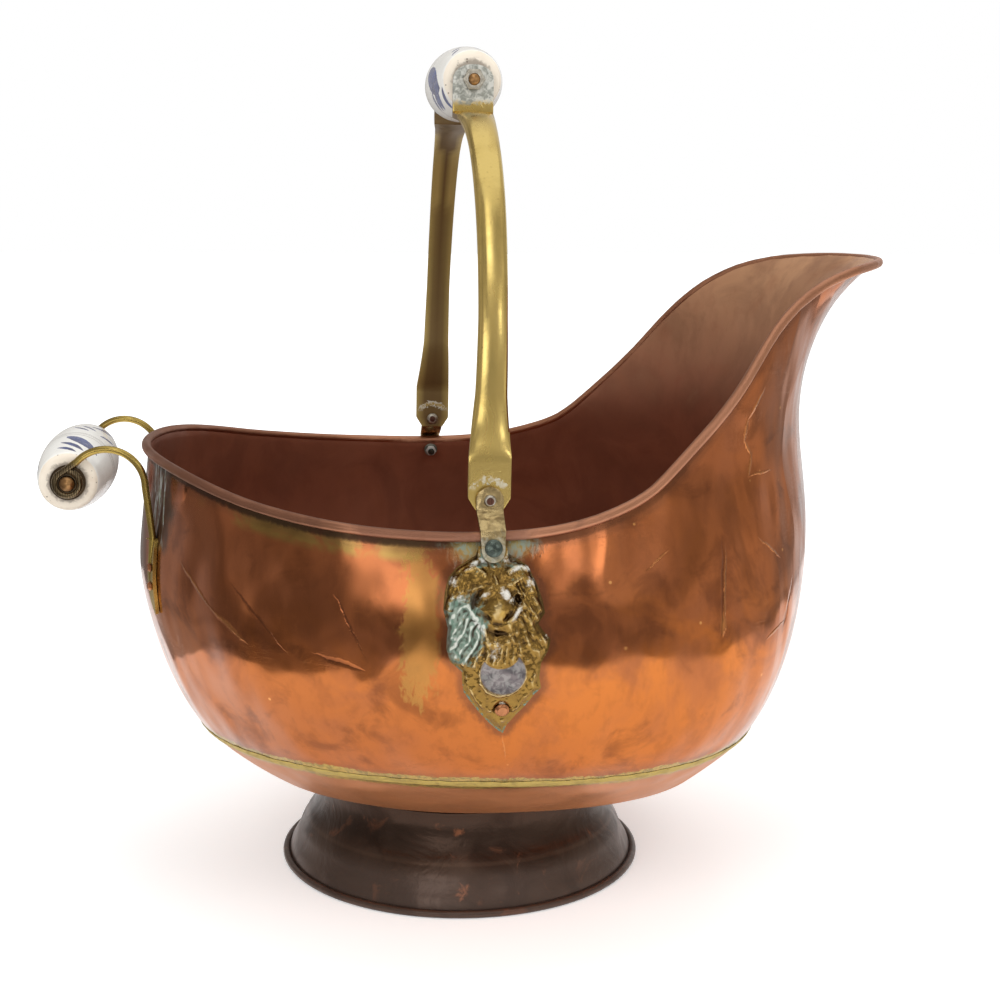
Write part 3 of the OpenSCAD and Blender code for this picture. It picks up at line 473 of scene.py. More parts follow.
def makeWallCopper():
    colours, finish = copperWallColours, wallFinish
    material, tree, shader = newMaterial("agedWallCopper")
    place = objectPlace(tree)
    spots = partsOf(place)
    height = spots["Z"]
    clouds = cloudy(place, 20.0, 1.0, 0.42, 0.62)
    blotches = cloudy(placed(place, move=(3, 1, 2)), 44.0, 0.6, 0.5, 0.7)
    grain = cloudy(placed(place, (1, 1, 0.5), move=(7, 1, 3)), 150.0, 0.1, 0.46, 0.68)
    ragged = cloudy(placed(place, (1, 1, 0.5), move=(1, 4, 2)), 330.0, 1.0, 0.42, 0.6)
    lines = scratched(place, 16.0, 0.0016)
    specks = speckled(place, 160.0, 0.05, 0.16)
    inside = attributeOf(tree, "insideMask")
    # darker brown above and bright below, with a wavy border between them, and browner towards the rear:
    # partly brown patina, partly a painted dark reflection of the room above a reflected horizon
    wave = wandering(clouds, finish["wander"])
    brown = ranged(height + wave, *finish["brownLevel"])
    colour = mixed(clouds["Mask"] * 0.35, colours["bright"], colours["brown"])
    colour = mixed(brown * finish["brownShare"], colour, colours["brown"])
    colour = mixed(ranged(spots["X"] + wave, *finish["brownEnd"]), colour, colours["brown"])
    colour = mixed(blotches["Mask"] * 0.46, colour, colours["dark"])
    colour = mixed(grain["Mask"] * 0.14, colour, colours["dark"])
    colour = mixed(lines["Mask"] * 0.08, colour, colours["nick"])
    colour = mixed(specks["Mask"] * 0.7, colour, colours["nick"])
    # stains: brass beside the mask, a sooty halo round it, soot and verdigris below the rim, braze haze at
    # the seam

    def stain(field, low, high, raggedShare=0.5):
        shaken = field + wandering(ragged, raggedShare)
        shaken = shaken + wandering(blotches, raggedShare * 0.7)
        return ranged(shaken, low, high)

    outside = 1.0 - inside
    brassy = stain(1.4 - sideSpotReach(spots, brassSpot), 0.3, 0.6, 1.5) * 0.62 * outside
    colour = mixed(brassy, colour, colours["brass"])
    colour = mixed(stain(attributeOf(tree, "haloField"), 0.3, 0.95, 0.9) * 0.62, colour, colours["halo"])
    near = attributeOf(tree, "sootField") + wandering(ragged, 0.07)
    smearShare = (
        ranged(abs(spots["X"] + finish["smearMiddle"]), *finish["smearReach"])
        * ranged(blotches["Height"], 0.38, 0.55))
    smear = ranged(near, 0.4, 0.75) * smearShare * 0.6
    colour = mixed(smear, colour, colours["greenish"])
    colour = mixed(ranged(near, 0.72, 0.95) * 0.32, colour, colours["halo"])
    sooty = ranged(near, 0.925, 0.995) * 0.85 * ranged(spots["X"], *finish["sootEnd"])
    colour = mixed(sooty, colour, colours["soot"])
    greenField = larger(*[1.35 - sideSpotReach(spots, spot) for spot in verdigrisSpots])
    green = stain(greenField, 0.1, 1.25, 1.5) * 0.8 * outside
    colour = mixed(green, colour, mixed(ragged["Mask"], colours["greenish"], colours["verdigris"]))
    streaky = cloudy(placed(place, (1, 1, 0.12), move=(2, 2, 9)), 330.0, 0.5, 0.42, 0.6)
    streakField = attributeOf(tree, "streakField")
    colour = mixed(
        ranged(streakField + wandering(blotches, 0.8), 0.15, 0.5) * 0.75, colour, colours["streakDark"])
    streaks = ranged(streakField + wandering(streaky, 2.2), 0.6, 1.0) * 0.75
    colour = mixed(streaks, colour, mixed(ragged["Mask"], colours["streakPale"], colours["verdigris"]))
    # the braze has run out over the sheet beside the joint
    run = abs(height - finish["seamLevel"]) + wandering(ragged, 0.0035) + wandering(blotches, 0.007)
    braze = ranged(run, *finish["brazeReach"]) * 0.85
    colour = mixed(ranged(run, *finish["hazeReach"]) * 0.35, colour, colours["halo"])
    colour = mixed(braze, colour, mixed(ragged["Mask"], colours["braze"], colours["greenish"]))
    pan = ranged(height, *finish["panLevel"])
    colour = mixed(pan * (0.7 - braze * 0.7), colour, colours["pan"])
    # creases and scratches knocked into the camera's side, and bright ones by the lip: painted shade in the
    # dark creases and painted highlights along the bright ones, besides their bumps
    facing = ranged(spots["Y"], *finish["nearSide"])
    acrossSheet, upSheet, sheetShake = spots["X"] * 1000.0, spots["Z"] * 1000.0, wandering(grain, 3.0)

    def creased(shines):
        return larger(*[
            leafStroke(acrossSheet, upSheet, ends, width * 1.7, sheetShake, width * 1.5)
            for *ends, width, bright in wallCreases if bright == shines]) * facing

    creaseShade, creaseHighlight = creased(False), creased(True)
    colour = mixed(creaseShade * 0.5, colour, colours["dark"])
    colour = mixed(creaseHighlight * 0.3, colour, colours["nick"])
    # inside, lighter towards the top and darker deeper down: painted light falling into the bowl, with
    # tarnish patches
    insideColour = mixed(
        ranged(height + wave, *finish["insideLevel"]), colours["inside"], colours["insideLight"])
    insideColour = mixed(clouds["Mask"] * 0.42, insideColour, colours["insideDark"])
    insideColour = mixed(blotches["Mask"] * 0.25, insideColour, colours["brown"])
    insideColour = mixed(grain["Mask"] * 0.12, insideColour, colours["insideDark"])
    colour = mixed(inside, colour, insideColour)
    rimShade = mixed(
        ranged(spots["X"] + clouds["Mask"] * -0.12, *finish["rimEnd"]) * 0.8, colours["pink"],
        colours["rimBrown"])
    colour = mixed(attributeOf(tree, "rimField"), colour, rimShade)
    feed(shader.inputs["Base Color"], colour)
    metal = 1.0 - larger(green, streaks) * 0.9
    metal = metal - larger(inside, pan, braze) * 0.45
    feed(shader.inputs["Metallic"], metal)
    rough = finish["polish"] + clouds["Mask"] * finish["clouded"]
    rough = rough + larger(inside, pan) * finish["dulled"]
    rough = rough + larger(green, streakField * 1.4, larger(sooty, brassy * 0.5)) * finish["crusted"]
    rough = rough + attributeOf(tree, "rimField") * finish["crusted"]
    feed(shader.inputs["Roughness"], rough)
    ripple = put(
        tree, "TexNoise",
        {"Vector": placed(place, (1.2, 1.2, 0.7)), "Scale": 15.0, "Detail": 2.0, "Roughness": 0.4})[0]
    # beaten folds towards the lip
    folds = put(
        tree, "TexNoise",
        {"Vector": placed(place, (1, 1, 0.22), move=(4, 0, 1)), "Scale": 46.0, "Detail": 1.5,
         "Roughness": 0.5})[0]
    folds = abs(folds - 0.5) * (ranged(spots["X"], *finish["foldedEnd"]) * outside)
    bumps = ripple + lines["Mask"] * -0.0008
    bumps = bumps - folds * 0.2
    bumps = bumps + (creaseHighlight - creaseShade) * 0.022
    bumps = bumps + green * ragged["Height"] * 0.03
    bumped(shader, bumps, finish["relief"])
    return material


footColours = {
    "dark": paint(86, 68, 58), "black": paint(50, 38, 32), "copper": paint(206, 132, 94),
    "edge": paint(132, 102, 84), "dusty": paint(92, 76, 68)}
footSpots = [(-9, 37, 3.2, 2.0), (-9, 11.5, 6.0, 4.0)]
footFinish = {
    "nearSide": (-0.02, -0.03), "darkLevel": (0.023, 0.03, 0.0, 0.45), "dustyLevel": (0.022, 0.014),
    "ridgeLevel": 0.0225, "ridgeReach": (0.0003, 0.0014), "polish": 0.3, "relief": 0.0008,
}


def makeFootCopper():
    colours, finish = footColours, footFinish
    material, tree, shader = newMaterial("brownFootCopper")
    place = objectPlace(tree)
    spots = partsOf(place)
    level = spots["Z"]
    clouds = cloudy(place, 34.0, 0.9, 0.46, 0.7)
    worn = cloudy(placed(place, move=(5, 2, 3)), 48.0, 1.2, 0.6, 0.7)
    ragged = cloudy(placed(place, move=(2, 6, 1)), 300.0, 1.0, 0.42, 0.6)
    lines = scratched(place, 24.0, 0.002)
    colour = mixed(clouds["Mask"] * 0.6, colours["dark"], colours["black"])
    colour = mixed(worn["Mask"] * 0.22, colour, colours["copper"])
    for spot in footSpots:
        rubbed = 1.35 - spotReach(spots, *spot)
        rubbed = (rubbed + wandering(worn, 1.8)) * ranged(spots["Y"], *finish["nearSide"])
        rubbed = rubbed + wandering(ragged, 3.0)
        colour = mixed(ranged(rubbed, 0.35, 1.5) * 0.75, colour, colours["copper"])
    # darker towards the top of the foot, in the cove under the bowl's belly: painted shade, with dark patina
    colour = mixed(ranged(level, *finish["darkLevel"]), colour, colours["black"])
    dusty = ranged(level, *finish["dustyLevel"])
    colour = mixed(dusty * 0.5, colour, colours["dusty"])
    # a paler line along the ridge's step: a painted highlight
    ridge = abs(level - finish["ridgeLevel"])
    colour = mixed(ranged(ridge, *finish["ridgeReach"], 1.0, 0.0) * 0.14, colour, colours["edge"])
    colour = mixed(lines["Mask"] * 0.1, colour, colours["edge"])
    feed(shader.inputs["Base Color"], colour)
    feed(shader.inputs["Metallic"], 1.0 - dusty * 0.3)
    feed(shader.inputs["Roughness"], finish["polish"] + clouds["Mask"] * 0.12)
    bumped(shader, clouds["Height"] - lines["Mask"] * 0.02, finish["relief"])
    return material


def makeMetal(name, settings, crust=None, dark=None, band=None, arc=None):
    # stained patches, rubbed lines, specks and pits; crust is where pale corrosion sits
    material, tree, shader = newMaterial(name, settings.get("metallic", 1.0))
    place = objectPlace(tree)
    spots = partsOf(place)
    clouds = cloudy(place, settings["patches"], 0.7, 0.42, 0.66)
    lines = scratched(place, settings["lines"], 0.003)
    specks = speckled(place, settings["patches"] * 12, settings.get("speckle", 0.15), 0.3)
    colour = mixed(clouds["Mask"] * settings["stained"], settings["main"], settings["stain"])
    colour = mixed(lines["Mask"] * 0.2, colour, settings["rubbed"])
    colour = mixed(specks["Mask"] * 0.4, colour, settings["stain"])
    rough = settings["roughness"] + clouds["Mask"] * 0.1
    height = clouds["Height"] * 0.5 - specks["Mask"] * 0.06
    if band:
        dulled = attributeOf(tree, "innerField")
        colour = mixed(dulled * 0.75, colour, band["dull"])
        # the brown band on an arm's inner face: partly tarnish, partly painted shade
        colour = mixed(attributeOf(tree, "brownBandAndShadeField") * 0.8, colour, band["brown"])
        rough = rough + dulled * 0.15
    if dark:
        # blackened within a reach of an axis along the grip
        reach = slant(spots["X"] - dark["x"], spots["Z"] - dark["z"]) + wandering(clouds, dark["shake"])
        rings = put(tree, "TexWave", {"Vector": place, "Scale": 300.0, "Distortion": 6.0, "Detail": 2.0})[0]
        blackened = mixed(rings, dark["colour"], dark["light"])
        colour = mixed(ranged(reach, dark["far"], dark["near"]) * 0.95, colour, blackened)
    if crust:
        fine = cloudy(placed(place, move=(1, 2, 5)), 380.0, 0.8, 0.38, 0.62)
        field = ranged(spots["Z"] + wandering(fine, crust["ragged"]), crust["from"], crust["to"])
        covered = field * crust["share"]
        colour = mixed(covered, colour, mixed(fine["Mask"], crust["pale"], crust["grey"]))
        rough = rough + covered * 0.3
        height = height + fine["Height"] * covered * 0.8
        feed(shader.inputs["Metallic"], 1.0 - larger(covered, attributeOf(tree, "innerField")) * 0.6)
    if arc:
        # pale corrosion above a pivot
        crumbs = cloudy(placed(place, move=(6, 2, 1)), 520.0, 0.8, 0.4, 0.6)
        reach = slant(spots["X"] - arc["x"], spots["Z"] - arc["z"])
        offArc = abs(reach - arc["reach"]) + wandering(crumbs, 0.005)
        above = ranged(spots["Z"], arc["level"] - 0.001, arc["level"] + 0.002)
        arcShare = ranged(offArc, arc["half"], arc["half"] * 0.5) * above
        colour = mixed(arcShare * 0.75, colour, mixed(crumbs["Mask"], arc["pale"], settings["stain"]))
        rough = rough + arcShare * 0.25
    feed(shader.inputs["Base Color"], colour)
    feed(shader.inputs["Roughness"], rough)
    bumped(shader, height, settings.get("relief", 0.0006))
    return material


def metalSettings(main, stain, rubbed, roughness, patches, lines, stained, **others):
    # three colours, the roughness, the scale of the patches and lines, and how stained it is
    return {
        "main": paint(*main), "stain": paint(*stain), "rubbed": paint(*rubbed), "roughness": roughness,
        "patches": patches, "lines": lines, "stained": stained, **others,
    }


fittings = {
    "armBrass": metalSettings(
        (222, 194, 118), (186, 158, 86), (240, 222, 168), 0.2, 45.0, 20.0, 0.45, relief=0.0004),
    "earBrass": metalSettings((200, 176, 126), (108, 88, 58), (226, 210, 168), 0.26, 160.0, 30.0, 0.85),
    "eyeBrass": metalSettings((96, 84, 66), (48, 41, 34), (176, 160, 128), 0.3, 90.0, 60.0, 0.5),
    "wireBrass": metalSettings(
        (188, 162, 88), (120, 98, 52), (232, 214, 156), 0.22, 60.0, 30.0, 0.5, speckle=0.04, relief=0.00012),
    "braze": metalSettings(
        (198, 172, 90), (164, 140, 78), (232, 208, 150), 0.5, 140.0, 30.0, 0.7, metallic=0.3),
    "bronze": metalSettings((176, 134, 88), (104, 76, 52), (220, 184, 140), 0.3, 90.0, 120.0, 0.6),
    "darkBrass": metalSettings((74, 60, 44), (40, 33, 27), (150, 128, 92), 0.38, 90.0, 120.0, 0.5),
    "screwGreen": metalSettings(
        (96, 106, 98), (44, 52, 50), (196, 204, 194), 0.26, 300.0, 60.0, 0.8, metallic=0.9),
    "washerGrey": metalSettings(
        (150, 152, 140), (84, 92, 84), (214, 216, 204), 0.36, 300.0, 60.0, 0.8, metallic=0.7),
    "paleNut": metalSettings((206, 200, 186), (140, 130, 112), (240, 238, 228), 0.3, 300.0, 60.0, 0.5),
    "pivot": metalSettings((206, 200, 186), (140, 130, 112), (240, 238, 228), 0.36, 300.0, 60.0, 0.5),
    "zinc": metalSettings(
        (206, 204, 198), (140, 138, 132), (240, 240, 238), 0.32, 120.0, 140.0, 0.5, metallic=0.4),
    "rivetCopper": metalSettings((190, 128, 88), (110, 72, 50), (236, 196, 162), 0.3, 120.0, 140.0, 0.5),
    "ironWire": metalSettings((92, 78, 68), (60, 48, 40), (150, 132, 118), 0.45, 120.0, 140.0, 0.5),
}

wallCopper = makeWallCopper()
footCopper = makeFootCopper()
innerBand = {"dull": paint(170, 146, 86), "brown": paint(86, 57, 34)}
pivotArc = {
    "x": -0.0026, "z": 0.2136, "level": 0.2185, "reach": 0.009, "half": 0.0018, "pale": paint(228, 226, 214)}
tabCrust = {
    "from": 0.3862, "to": 0.3892, "ragged": 0.007, "share": 0.88, "pale": paint(218, 221, 219),
    "grey": paint(142, 150, 150)}
earCrust = {
    "from": 0.203, "to": 0.193, "ragged": 0.02, "share": 0.55, "pale": paint(196, 200, 188),
    "grey": paint(128, 132, 120)}
armBrass = makeMetal("oliveArmBrass", fittings["armBrass"], crust=tabCrust, band=innerBand, arc=pivotArc)
earBrass = makeMetal("oliveEarBrass", fittings["earBrass"], crust=earCrust)
eyeDark = {
    "x": -0.1927, "z": 0.210, "near": 0.0085, "far": 0.0135, "shake": 0.006, "colour": paint(56, 46, 36),
    "light": paint(128, 112, 88)}
wireBrass = makeMetal("bracketWireBrass", fittings["wireBrass"], dark=eyeDark)
eyeBrass = makeMetal("blackenedEyeBrass", fittings["eyeBrass"])
brazeMetal = makeMetal("brazeLine", fittings["braze"])
bronze = makeMetal("boltBronze", fittings["bronze"])
darkBrass = makeMetal("blackenedWasherBrass", fittings["darkBrass"])
screwGreen = makeMetal("greenedScrewBrass", fittings["screwGreen"])
washerGrey = makeMetal("greyedWasher", fittings["washerGrey"])
paleNut = makeMetal("paleBailNut", fittings["paleNut"])
zinc = makeMetal("zincedSteel", fittings["zinc"])
rivetHeart = {
    "x": -0.0026, "z": 0.2136, "near": 0.0015, "far": 0.0019, "shake": 0.0003, "colour": paint(86, 50, 40),
    "light": paint(108, 66, 52)}
pivotCopper = makeMetal("ringedPivotRivet", fittings["pivot"], dark=rivetHeart)
rivetCopper = makeMetal("rivetCopper", fittings["rivetCopper"])
ironWire = makeMetal("rolledInIronWire", fittings["ironWire"])


gripSettings = {
    "bailGrip": {
        "centre": (0.0, 0.3986), "half": 42.0, "radius": 18.0, "endRadius": 13.7, "bore": 2.26,
        "faceRadius": 12.6,
        # strokes: from along, from around in degrees, to along, to around in degrees, half width
        "strokes": [
            (-4, -72, -34, -104, 8.0), (-16, -104, -12, -140, 2.6), (-30, -96, -20, -142, 3.2),
            (-38, -102, -32, -150, 2.8), (-24, -98, -16, -142, 2.6), (20, -84, 34, -60, 2.6),
            (24, -52, 35, -38, 1.2), (16, 20, 30, 40, 2.6), (-18, 32, -30, 8, 2.4), (-26, 46, -36, 26, 1.2),
            (4, 150, 24, 168, 3.2), (-8, 120, -26, 140, 3.0), (-30, -18, -37, -40, 1.2),
            (-22, -10, -30, -34, 1.3)],
        "rings": [-10.5, -12.2, 9.0, 10.6],
    },
    "rearGrip": {
        "centre": (-0.1927, 0.210), "half": 50.0, "radius": 18.5, "endRadius": 13.6, "bore": 2.26,
        "faceRadius": 12.4,
        "strokes": [
            (-20, -10, -36, 44, 5.2), (-30, -18, -42, 28, 2.3), (-38, -22, -46, 16, 1.9),
            (-27, 10, -36, 52, 2.4), (6, -8, -3, 18, 1.8), (12, 2, 3, 28, 2.0), (13, 18, 24, 52, 2.8),
            (22, 32, 33, 64, 2.4), (30, 8, 37, 36, 1.8), (-3, 36, 8, 62, 1.8), (-18, -80, -36, -104, 3.0),
            (-30, -66, -42, -84, 1.3), (16, -70, 34, -96, 3.0), (28, -60, 40, -78, 1.2),
            (-12, 140, -34, 164, 3.2), (12, 130, 34, 152, 3.0)],
        "rings": [-13.2, -11.4, 11.4, 13.2, -16.4],
    },
}
porcelainColours = {
    "glaze": paint(245, 243, 237), "glazeShade": paint(232, 228, 218), "bisque": paint(240, 228, 210),
    "bisqueShade": paint(224, 207, 186),
    "blue": paint(54, 78, 142), "blueDeep": paint(28, 38, 92), "ring": paint(118, 106, 100),
    "grime": paint(92, 76, 62),
}


# millimetres round the glaze for each degree, and the strokes' soft edge
porcelainFinish = {
    "perDegree": 0.297, "soft": 0.22, "ringHalf": (0.15, 0.38), "bareEnd": (2.2, 1.4),
    "grimeReach": (10.6, 8.6)}


def makePorcelain(name, settings):
    colours, finish = porcelainColours, porcelainFinish
    material, tree, shader = newMaterial(name, 0.0, 0.14)
    place = objectPlace(tree)
    spots = partsOf(place)
    along = spots["Y"] * 1000.0
    acrossX = spots["X"] - settings["centre"][0]
    acrossZ = spots["Z"] - settings["centre"][1]
    radius = slant(acrossX, acrossZ) * 1000.0
    around = figured("ARCTAN2", acrossX, acrossZ) * (math.degrees(1) * finish["perDegree"])
    clouds = cloudy(place, 60.0, 0.4, 0.45, 0.75)
    fine = cloudy(place, 420.0, 0.6, 0.5, 0.72)
    shake = wandering(fine, 1.1)
    strokes = []
    for fromAlong, fromTurn, toAlong, toTurn, width in settings["strokes"]:
        ends = (fromAlong, fromTurn * finish["perDegree"], toAlong, toTurn * finish["perDegree"])
        strokes.append(leafStroke(along, around, ends, width, shake, finish["soft"]))
    painted = larger(*strokes)
    colour = mixed(clouds["Mask"] * 0.5, colours["glaze"], colours["glazeShade"])
    ring = larger(*[
        ranged(abs(along - level + shake * 0.3), *finish["ringHalf"], 1.0, 0.0)
        for level in settings["rings"]])
    colour = mixed(ring * 0.75, colour, colours["ring"])
    brushed = mixed(ranged(clouds["Height"], 0.35, 0.65), colours["blueDeep"], colours["blue"])
    brushed = mixed(fine["Mask"] * 0.2, brushed, colours["glazeShade"])
    colour = mixed(painted * 0.92, colour, brushed)
    # bare clay at the ends, with grime in its pores and near the washers
    bareFrom, bareTo = (settings["half"] - inset for inset in finish["bareEnd"])
    bare = ranged(abs(along) + shake * 0.8, bareFrom, bareTo)
    clay = mixed(clouds["Mask"], colours["bisque"], colours["bisqueShade"])
    specks = speckled(place, 700.0, 0.16, 0.34)
    clay = mixed(specks["Mask"] * 0.85, clay, colours["grime"])
    clay = mixed(ranged(radius + shake * 4.0, *finish["grimeReach"]) * 0.6, clay, colours["grime"])
    colour = mixed(bare, colour, clay)
    feed(shader.inputs["Base Color"], colour)
    feed(shader.inputs["Roughness"], 0.2 + bare * 0.45)
    bumped(shader, clouds["Height"] - specks["Mask"] * 0.5, 0.0003)
    return material


bailPorcelain = makePorcelain("paintedBailPorcelain", gripSettings["bailGrip"])
rearPorcelain = makePorcelain("paintedRearPorcelain", gripSettings["rearGrip"])

plainFinishes = {
    "side_wall": wallCopper, "bottom_pan": wallCopper, "brazed_seam": brazeMetal, "rim_wire": ironWire,
    "foot_ring": footCopper, "foot_wire": ironWire,
    "mask_left": wireBrass, "mask_right": wireBrass, "mask_rivets": rivetCopper, "ear_left": earBrass,
    "ear_right": earBrass,
    "ear_screws": bronze, "ear_washers": zinc, "ear_nuts": zinc, "pivot_rivets": rivetCopper,
    "arm_left": armBrass, "arm_right": armBrass,
    "bail_rod": bronze, "bail_washers": darkBrass, "bail_nuts": zinc, "bail_grip": bailPorcelain,
    "rear_bracket_left": wireBrass, "rear_bracket_right": wireBrass, "rear_rivets": rivetCopper,
    "rear_rod": bronze,
    "rear_washers": darkBrass, "rear_cap_nuts": bronze, "rear_grip": rearPorcelain,
}
for nodeName, material in plainFinishes.items():
    node = nodes[nodeName]
    if not node.material_slots:
        node.data.materials.append(material)
    for materialSlot in node.material_slots:
        materialSlot.material = material
print("finishes made:", len(bpy.data.materials))


# the bowl

bowlSettings = {
    "seamHeight": 0.079, "levels": 2, "beadRise": 1.32,
    # in metres from the rim's wire: where finer faces carry the stains
    "stained": (0.0016, 0.0155),
    # in millimetres from the wire: the skin that draws in under the bead, how far, and where that fades
    "skin": (0.6, 2.6), "drawn": 0.42, "drawnFade": (1.5, 2.5),
    "sootReach": (0.0022, 0.02), "haloReach": (0.0, 8.0), "streakReach": (0.0, 0.024),
}


def creaseLevel(piece, height, reach=0.0002):
    focus(piece)
    pickVertices(piece, lambda co: abs(co.z - height) < reach)
    bpy.ops.transform.edge_crease(value=1)
    objectMode()


def floatAttribute(piece, name, values):
    attribute = piece.data.attributes.new(name, "FLOAT", "POINT")
    attribute.data.foreach_set("value", numpy.asarray(values, dtype=numpy.float32))


def verticesOf(piece):
    flat = numpy.empty(len(piece.data.vertices) * 3)
    piece.data.vertices.foreach_get("co", flat)
    return flat.reshape(-1, 3)


def normalsOf(piece):
    flat = numpy.empty(len(piece.data.vertices) * 3)
    piece.data.vertices.foreach_get("normal", flat)
    return flat.reshape(-1, 3)


def surfaceOf(piece):
    mesh = piece.data
    return BVHTree.FromPolygons(
        [vertex.co for vertex in mesh.vertices], [polygon.vertices for polygon in mesh.polygons])


def distancesTo(nodeNames, points, reach):
    # how far each point is from the nodes, up to a reach
    distances = numpy.full(len(points), reach)
    for nodeName in nodeNames:
        surface = surfaceOf(nodes[nodeName])
        low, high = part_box(nodeName)
        near = numpy.all((points > numpy.array(low) - reach) & (points < numpy.array(high) + reach), axis=1)
        for index in numpy.nonzero(near)[0]:
            found = surface.find_nearest(Vector(points[index]), reach)
            if found[3] is not None:
                distances[index] = min(distances[index], found[3])
    return distances


def fade(values, near, far):
    # one at near or closer, nothing at far or beyond
    share = numpy.clip((numpy.asarray(values) - near) / (far - near), 0, 1)
    return 1 - share * share * (3 - 2 * share)


def lineDistance(across, down, points):
    # how far each place is from a broken line, with both in millimetres
    best = numpy.full(numpy.shape(across), 1e9)
    for (fromAcross, fromDown), (toAcross, toDown) in zip(points, points[1:]):
        stepAcross, stepDown = toAcross - fromAcross, toDown - fromDown
        length = stepAcross ** 2 + stepDown ** 2 + 1e-9
        share = numpy.clip(((across - fromAcross) * stepAcross + (down - fromDown) * stepDown) / length, 0, 1)
        best = numpy.minimum(
            best, numpy.hypot(across - fromAcross - share * stepAcross, down - fromDown - share * stepDown))
    return best


